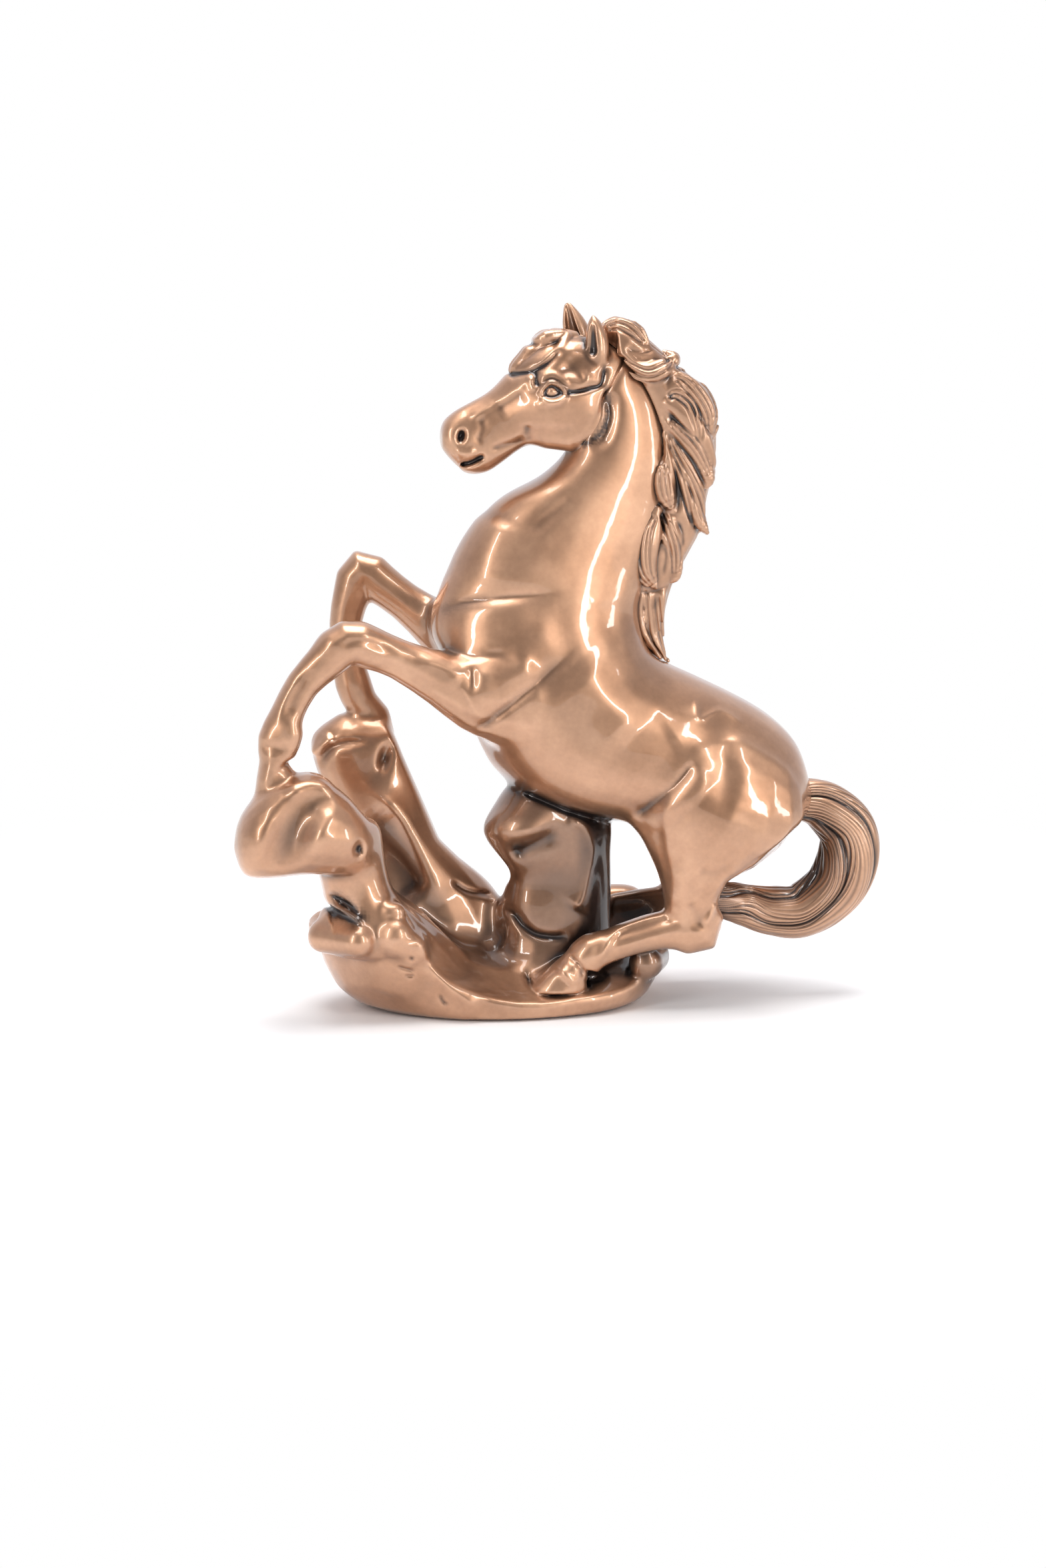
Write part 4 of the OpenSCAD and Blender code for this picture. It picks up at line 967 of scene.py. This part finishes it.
# wash and painted shade along the face's creases
wash_and_shade += crease_wash_and_shade.at(points)
label = vote(owner[head.cells(points[quads].mean(1))], quads)
for number, (name, slot) in enumerate(HEAD_PIECES.items()):
    new_piece(name, points, quads[label == number], out, wash_and_shade, edge, slot)


# The tail, one thick curl: the CAD's path with its five twisted locks, and fine strands along them

# middle and radius of each ring
TAIL = [
    (52, 0, 40.5, 3.4), (56.1, 0, 40.8, 3.9), (62.1, 0.1, 41.3, 4.7), (66.6, -0.1, 39.5, 5.5),
    (70.7, -0.7, 34.7, 6.2), (70.9, -1.3, 28.5, 6.6), (67.7, -2, 22.3, 6.5), (60.7, -2.5, 18.1, 5.85),
    (54.6, -2.65, 18.3, 5.3), (49.4, -2.8, 19.3, 4.7), (45.2, -3.6, 20.9, 4.2), (41.4, -4.5, 22.7, 3.6),
]
CURL = np.array([60.0, 0, 30.0])
TAIL_LOW, TAIL_HIGH, TAIL_STEP = (44, -14, 6), (82, 14, 54), 0.5
TAIL_STEPS, TAIL_AROUND = ((170, 320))
# locks and strands: their numbers, the twist, the valleys' depth as a share and the grooves' depth
TAIL_LOCKS, TAIL_STRANDS = 5, 32
TAIL_TWIST, VALLEY_DEPTH, GROOVE_DEPTH = 2.27, 0.13, 0.42
GROOVE_SHARPNESS = 1.5
# the sweep before the tip: its turn, and its place and length as shares of the way
SWEEP_TURN, SWEEP_AT, SWEEP_LENGTH = 0.6, 0.9, 0.07
# strands wander: size, waves around and waves along
WANDER = [(2.2, 2, 5), (1.2, 5, -9), (0.6, 9, 21)]
# wash in the grooves and valleys, painted shade inside the curl, and darkening towards the tip
TAIL_TONE, TAIL_EDGE, TAIL_DARK = 0.1, 0.6, 1.1
GROOVE_WASH, VALLEY_WASH, TIP_DARKENING = 0.9, 0.7, 0.5
CURL_REACH, CURL_FADE = 9.6, 6
TIP_START, TIP_LENGTH = 0.86, 0.14
TAIL_HOLLOWS = [(2 * TAIL_STEP, 0.5, 0.6)]


def halves(quads):
    return np.vstack([quads[:, [0, 1, 2]], quads[:, [0, 2, 3]]])


rows = smooth_line(TAIL, 24)
travel = np.append(0, np.cumsum(np.linalg.norm(np.diff(rows[:, :3], axis=0), axis=1)))
s = np.linspace(0, 1, TAIL_STEPS)
rows = np.column_stack([np.interp(s * travel[-1], travel, rows[:, k]) for k in range(4)])
heading = np.gradient(rows[:, :3], axis=0)
heading /= np.linalg.norm(heading, axis=1, keepdims=True)
lean = (rows[:, :3] - CURL) * (1, 0, 1)
lean -= heading * (lean * heading).sum(1, keepdims=True)
lean /= np.linalg.norm(lean, axis=1, keepdims=True)
side = np.cross(heading, lean)
turn = np.linspace(0, 2 * np.pi, TAIL_AROUND, endpoint=False)[None, :]
s = s[:, None]
# the locks twist, and sweep up once before the tip
spin = turn - TAIL_TWIST * s + SWEEP_TURN * np.exp(-(((s - SWEEP_AT) / SWEEP_LENGTH) ** 2))
valley = (1 - np.abs(np.sin(TAIL_LOCKS / 2 * spin))) ** 2
phase = TAIL_STRANDS / 2 * spin
for size, around, along in WANDER:
    phase = phase + size * np.sin(around * spin + along * s)
# and are deeper on one side of each lock
uneven = 0.65 + 0.35 * np.sin(TAIL_LOCKS * spin + 3 * s)
groove = (1 - np.abs(np.sin(phase))) ** GROOVE_SHARPNESS * uneven
radius = rows[:, 3:4] * (1 - VALLEY_DEPTH * valley) - GROOVE_DEPTH * groove
points = (
    rows[:, None, :3]
    + side[:, None, :] * (radius * np.cos(turn))[..., None]
    + lean[:, None, :] * (radius * np.sin(turn))[..., None]
).reshape(-1, 3)
i, k = np.meshgrid(np.arange(TAIL_STEPS - 1), np.arange(TAIL_AROUND), indexing="ij")
n = (k + 1) % TAIL_AROUND
quads = np.stack([i, i + 1, i + 1, i], -1) * TAIL_AROUND + np.stack([k, k, n, n], -1)
quads = quads.reshape(-1, 4)
for ring in (0, TAIL_STEPS - 1):
    hub = len(points)
    points = np.vstack([points, rows[ring : ring + 1, :3]])
    first = ring * TAIL_AROUND + np.arange(0, TAIL_AROUND, 2)
    last = ring * TAIL_AROUND + (np.arange(0, TAIL_AROUND, 2) + 2) % TAIL_AROUND
    cap = np.column_stack([np.full(len(first), hub), first, first + 1, last])
    quads = np.vstack([quads, cap if ring else cap[:, ::-1]])
a, b, c = (points[quads[:, n]] for n in (0, 1, 2))
if np.einsum("ij,ij->i", a - points.mean(0), np.cross(b - a, c - a)).sum() < 0:
    quads = quads[:, ::-1]
room = Field(TAIL_LOW, TAIL_HIGH, TAIL_STEP)
tail = room.solid(points.astype(np.float32), halves(quads))
broad_wash, _ = wash_shade_and_wear(room, tail, points, TAIL_HOLLOWS)
depth = np.append(np.maximum(GROOVE_WASH * groove, valley**2 * VALLEY_WASH), [0, 0])
# painted shade inside the curl, and darker towards the tip
curl_shade = rise(-np.linalg.norm((points - CURL)[:, [0, 2]], axis=1), -CURL_REACH, CURL_FADE)
tip = np.broadcast_to(rise(s, TIP_START, TIP_LENGTH), groove.shape)
tip = np.append(tip.ravel(), [0, 1])
wash_and_shade = TAIL_TONE + depth * TAIL_DARK + broad_wash + curl_shade + TIP_DARKENING * tip
new_piece("tail", points, quads, None, wash_and_shade, np.clip(TAIL_EDGE - depth, 0, 1), "bronze_hair")


# The mane: the CAD's locks on a fine grid, with strands

MANE_LOW, MANE_HIGH = (10, -11, 65), (49, 11, 147)
# the neck fills the mane only this deep below the mane's surface
NECK_IN_MANE, MANE_SUNK = 2.5, 0.6
MANE_BLUR = 0.45
# each lock is a rounded tress, the same on both sides: pixels, plane of constant y and radii
TRESSES = [
    ([(985, 562), (1000, 547), (1009, 538), (1002, 531)], -2.5, [1.8, 2.0, 1.5, 0.8]),
    ([(976, 538), (994, 554), (1016, 574)], -2.0, [2.2, 2.6, 2.6]),
    ([(1004, 572), (1016, 592), (1034, 622), (1047, 660)], -3.4, [2.6, 3.4, 3.4, 2.2]),
    (
        [(998, 606), (1012, 588), (1034, 590), (1051, 611), (1057, 636), (1052, 662)],
        -3.8, [1.6, 2.8, 3.4, 3.3, 2.7, 1.3],
    ),
    (
        [(998, 628), (1016, 640), (1036, 664), (1051, 694), (1061, 716), (1059, 728)],
        -4.4, [1.4, 2.6, 2.9, 2.3, 1.5, 0.7],
    ),
    (
        [(1000, 652), (1014, 686), (1030, 726), (1040, 760), (1051, 785), (1060, 798)],
        -4.2, [1.4, 2.6, 2.8, 2.1, 1.4, 0.6],
    ),
    ([(1000, 690), (993, 715), (998, 742), (1008, 764)], -5.0, [1.2, 2.2, 2.2, 0.6]),
    ([(1012, 735), (1022, 765), (1030, 790), (1030, 812)], -2.5, [2.4, 2.4, 1.8, 0.8]),
    ([(984, 764), (967, 792), (963, 828), (968, 860), (984, 882)], -4.4, [1.3, 2.4, 2.8, 2.4, 0.6]),
    ([(994, 770), (1004, 806), (1010, 842), (1012, 862), (1008, 870)], -2.5, [2.0, 2.4, 2.0, 1.3, 0.7]),
    ([(962, 870), (958, 910), (965, 950), (990, 985)], -3.2, [1.6, 1.4, 1.2, 0.5]),
    ([(974, 870), (973, 915), (980, 955), (998, 988)], -2.0, [2.0, 1.7, 1.3, 0.5]),
    ([(985, 870), (984, 915), (988, 955), (1001, 990)], 0.0, [1.7, 1.5, 1.1, 0.4]),
]
# and between the two sides there is a middle one
MIDDLE_TRESS = [
    (998, 560), (1030, 590), (1048, 624), (1042, 668), (1038, 715), (1026, 765), (1006, 815), (998, 860),
]
MIDDLE_RADII = [3.0, 3.4, 3.4, 2.9, 3.0, 2.9, 2.4, 1.8]
TRESS_FILLET, MIDDLE_FILLET = 0.5, 1.2
# valleys between the locks
VALLEYS = [
    [(928, 536), (950, 558), (975, 572), (1002, 566), (1022, 556)],
    [(935, 520), (950, 526), (968, 528), (984, 524)],
    [(998, 612), (1012, 628), (1034, 652), (1052, 678)],
    [(1000, 634), (1020, 668), (1044, 696), (1058, 724)],
    [(1000, 650), (1018, 690), (1034, 730), (1046, 780)],
    [(1004, 676), (1014, 715), (1018, 750), (1014, 770)],
    [(997, 805), (999, 835), (992, 876)],
    [(1012, 775), (1024, 800), (1024, 830)],
    [(950, 880), (966, 888), (990, 884), (1008, 872)],
    [(965, 890), (964, 930), (972, 965)],
    [(979, 890), (981, 930), (987, 970)],
]
# strands on each lock: pixels, half-widths of the lock and number of strands
STRANDS = [
    ([(908, 490), (928, 484), (950, 494), (968, 514)], [1.2, 1.9, 1.9, 0.8], 3),
    ([(925, 530), (945, 548), (972, 560), (998, 550), (1010, 538)], [0.4, 1.0, 1.4, 1.2, 0.6], 2),
    ([(1008, 560), (1030, 566), (1054, 590), (1068, 620), (1066, 655)], [1.0, 2.6, 3.0, 2.6, 0.8], 5),
    ([(1000, 600), (1014, 590), (1036, 606), (1046, 636), (1050, 668)], [0.5, 1.4, 1.6, 1.3, 0.5], 3),
    ([(999, 622), (1018, 642), (1040, 664), (1056, 690), (1066, 718)], [0.4, 1.2, 1.5, 1.3, 0.6], 3),
    ([(1000, 642), (1014, 678), (1034, 714), (1050, 750), (1060, 792)], [0.4, 1.2, 1.6, 1.6, 0.6], 3),
    ([(1002, 660), (1018, 700), (1030, 740), (1040, 790)], [0.4, 1.2, 1.4, 0.6], 3),
    ([(998, 688), (997, 715), (1000, 740), (1007, 762)], [0.4, 1.4, 1.4, 0.3], 3),
    ([(984, 768), (968, 795), (963, 830), (968, 860), (984, 882)], [0.6, 1.6, 2.0, 1.7, 0.5], 4),
    ([(992, 765), (1004, 795), (1014, 830), (1012, 868)], [0.6, 1.4, 1.6, 0.6], 3),
    ([(960, 884), (957, 920), (964, 955), (988, 985)], [0.3, 0.5, 0.5, 0.2], 1),
    ([(970, 884), (972, 925), (978, 960), (996, 990)], [0.4, 0.6, 0.6, 0.2], 1),
    ([(985, 886), (988, 930), (994, 965), (1002, 992)], [0.5, 0.8, 0.7, 0.2], 2),
]
VALLEY_WIDTH, STRAND_WIDTH, STRAND_DEPTH = 0.6, 0.32, 0.4
# strands along its back: their rate across, waves of a size and rate, and the slope at which they end
COMB_RATE = 1.5
COMB_WAVES = [(0.9, 0.22), (0.4, 0.6)]
COMB_SLOPE, COMB_FADE = 1.1, 1.5
MANE_TONE, MANE_EDGE = 0.15, 0.1
STRAND_HOLLOWS, LOCK_HOLLOWS = [(0.3, 0.12, 0.4)], [(1.0, 0.4, 0.9)]

hair = Field(MANE_LOW, MANE_HIGH, HAIR_STEP)
mane = hair.cad("mane")
trunk = hair.cad("neck", "torso", "head")
mane = np.minimum(mane, np.maximum(trunk + MANE_SUNK, mane - NECK_IN_MANE))
mane = hair.blur(np.minimum(mane, hair.cad("mane_dowels") + PIN_CORE), MANE_BLUR)
for pixels, y, radii in TRESSES:
    spots = smooth_line(all_on_plane(pixels, y), 3)
    for side in (1, -1):
        hair.add_rods(mane, spots * (1, side, 1), smooth_line(radii, 3), TRESS_FILLET, margin=1.5)
spots = smooth_line(all_on_plane(MIDDLE_TRESS, 0), 3)
hair.add_rods(mane, spots, smooth_line(MIDDLE_RADII, 3), MIDDLE_FILLET, margin=1.5)
valleys = [(pixels, VALLEY_WIDTH, -STRAND_DEPTH, dict(fade=0.3, sharp=True)) for pixels in VALLEYS]
tresses = Relief(hair, np.minimum(mane, trunk), valleys)
for pixels, spread, count in STRANDS:
    tresses.strands(pixels, spread, count, STRAND_WIDTH, STRAND_DEPTH)
tresses.press(mane)
# strands along its back, where the drawn ones don't reach
y, z = hair.y[None, :, None], hair.z[None, None, :]
phase = COMB_RATE * y
for size, rate in COMB_WAVES:
    phase = phase + size * np.sin(rate * z)
comb = (1 - np.abs(np.sin(phase))) ** GROOVE_SHARPNESS
sideways = np.abs(np.gradient(mane, axis=1)) / hair.step
mane += (STRAND_DEPTH * comb * np.clip(COMB_SLOPE - COMB_FADE * sideways, 0, 1)).astype(np.float32)
points, quads, out = hair.surface(mane)
strand_wash, edge = wash_shade_and_wear(hair, mane, points, STRAND_HOLLOWS, MANE_EDGE)
lock_wash, _ = wash_shade_and_wear(hair, np.minimum(mane, trunk), points, LOCK_HOLLOWS)
new_piece("mane", points, quads, out, MANE_TONE + strand_wash + lock_wash, edge, "bronze_hair")


# Stage, lights and camera

FLOOR_HALF_SIZE = 6
# the floor's own shade ends, and white begins, over these distances from its middle
SHADE_END, WHITE_START = 0.07, 0.24
# brightness of the room for reflections, from the camera's side to the white backdrop behind the object
ROOM = [
    (0.0, (0.2, 0.2, 0.21)),
    (0.3, (0.27, 0.27, 0.29)),
    (0.55, (0.5, 0.5, 0.54)),
    (0.9, (0.95, 0.95, 1)),
]
LIGHT_TARGET = (0.005, 0, 0.075)
STRIP_AWAY, STRIP_FOOT = 0.75, 0.02
# upright strip lights: angle round the object, width, height and power
STRIPS = {
    "left_strip": (-47, 0.055, 0.7, 2.2),
    "right_strip": (35, 0.055, 0.6, 1.9),
    "rim_strip": (62, 0.05, 0.3, 0.65),
}
TOP_BOX_PLACE, TOP_BOX_SIZE, TOP_BOX_WATTS = (0.0, 0.0, 0.9), 0.6, 7.5
SENSOR = 36.0

scene = bpy.context.scene
scene.view_settings.view_transform = "Standard"

half = FLOOR_HALF_SIZE
mesh = bpy.data.meshes.new("floor")
mesh.from_pydata([(-half, -half, 0), (half, -half, 0), (half, half, 0), (-half, half, 0)], [], [(0, 1, 2, 3)])
floor = bpy.data.objects.new("floor", mesh)
scene.collection.objects.link(floor)
pale, make = new_material("pale_floor")
paper = make("BsdfPrincipled", Base_Color=(0.93, 0.93, 0.93, 1), Roughness=0.9)
glow = make("Emission", Strength=1.0)
# away from the object the floor runs out into the white background
place = make("TexCoord").outputs["Object"]
away = make("VectorMath", place, settings={"operation": "LENGTH"}).outputs["Value"]
even = {"interpolation_type": "SMOOTHSTEP"}
fade = make("MapRange", settings=even, Value=away, From_Min=SHADE_END, From_Max=WHITE_START)
path = make("LightPath").outputs
looked = make("Math", path["Is Camera Ray"], path["Is Glossy Ray"], settings={"operation": "MAXIMUM"})
share = make("Math", fade.outputs["Result"], looked.outputs[0], settings={"operation": "MULTIPLY"})
both = make("MixShader", share.outputs[0], paper.outputs[0], glow.outputs[0])
make("OutputMaterial", Surface=both.outputs[0])
mesh.materials.append(pale)

world = bpy.data.worlds.new("studio")
scene.world = world
world.use_nodes = True
make = node_maker(world.node_tree)
facing = make("TexCoord").outputs["Generated"]
depth = make("SeparateXYZ", facing).outputs["Y"]
room = make("MapRange", Value=depth, From_Min=-1.0, From_Max=1.0).outputs["Result"]
fill = make("Background", Color=colour_ramp(make("ValToRGB", Fac=room), ROOM), Strength=1.0)
seen = make("Background", Color=(1, 1, 1, 1), Strength=1.0)
camera_ray = make("LightPath").outputs["Is Camera Ray"]
both = make("MixShader", camera_ray, fill.outputs[0], seen.outputs[0])
make("OutputWorld", Surface=both.outputs[0])


def area_light(name, place, wide, tall, watts):
    data = bpy.data.lights.new(name, "AREA")
    data.shape = "RECTANGLE"
    data.size, data.size_y = wide, tall
    data.energy = watts
    light = bpy.data.objects.new(name, data)
    light.location = place
    aim = Vector(LIGHT_TARGET) - Vector(place)
    light.rotation_euler = aim.to_track_quat("-Z", "Y").to_euler()
    scene.collection.objects.link(light)


for name, (turn, wide, tall, watts) in STRIPS.items():
    a = math.radians(turn)
    place = (STRIP_AWAY * math.sin(a), -STRIP_AWAY * math.cos(a), STRIP_FOOT + tall / 2)
    area_light(name, place, wide, tall, watts)
area_light("top_box", TOP_BOX_PLACE, TOP_BOX_SIZE, TOP_BOX_SIZE, TOP_BOX_WATTS)

data = bpy.data.cameras.new("camera")
data.sensor_fit = "AUTO"
data.sensor_width = SENSOR
data.lens = SENSOR * FOCAL / PHOTO_H
data.clip_start, data.clip_end = 0.01, 50
camera = bpy.data.objects.new("camera", data)
turn = Matrix([RIGHT, UP, BACK]).transposed().to_4x4()
camera.matrix_world = Matrix.Translation(Vector(EYE * MM)) @ turn
scene.collection.objects.link(camera)
scene.camera = camera
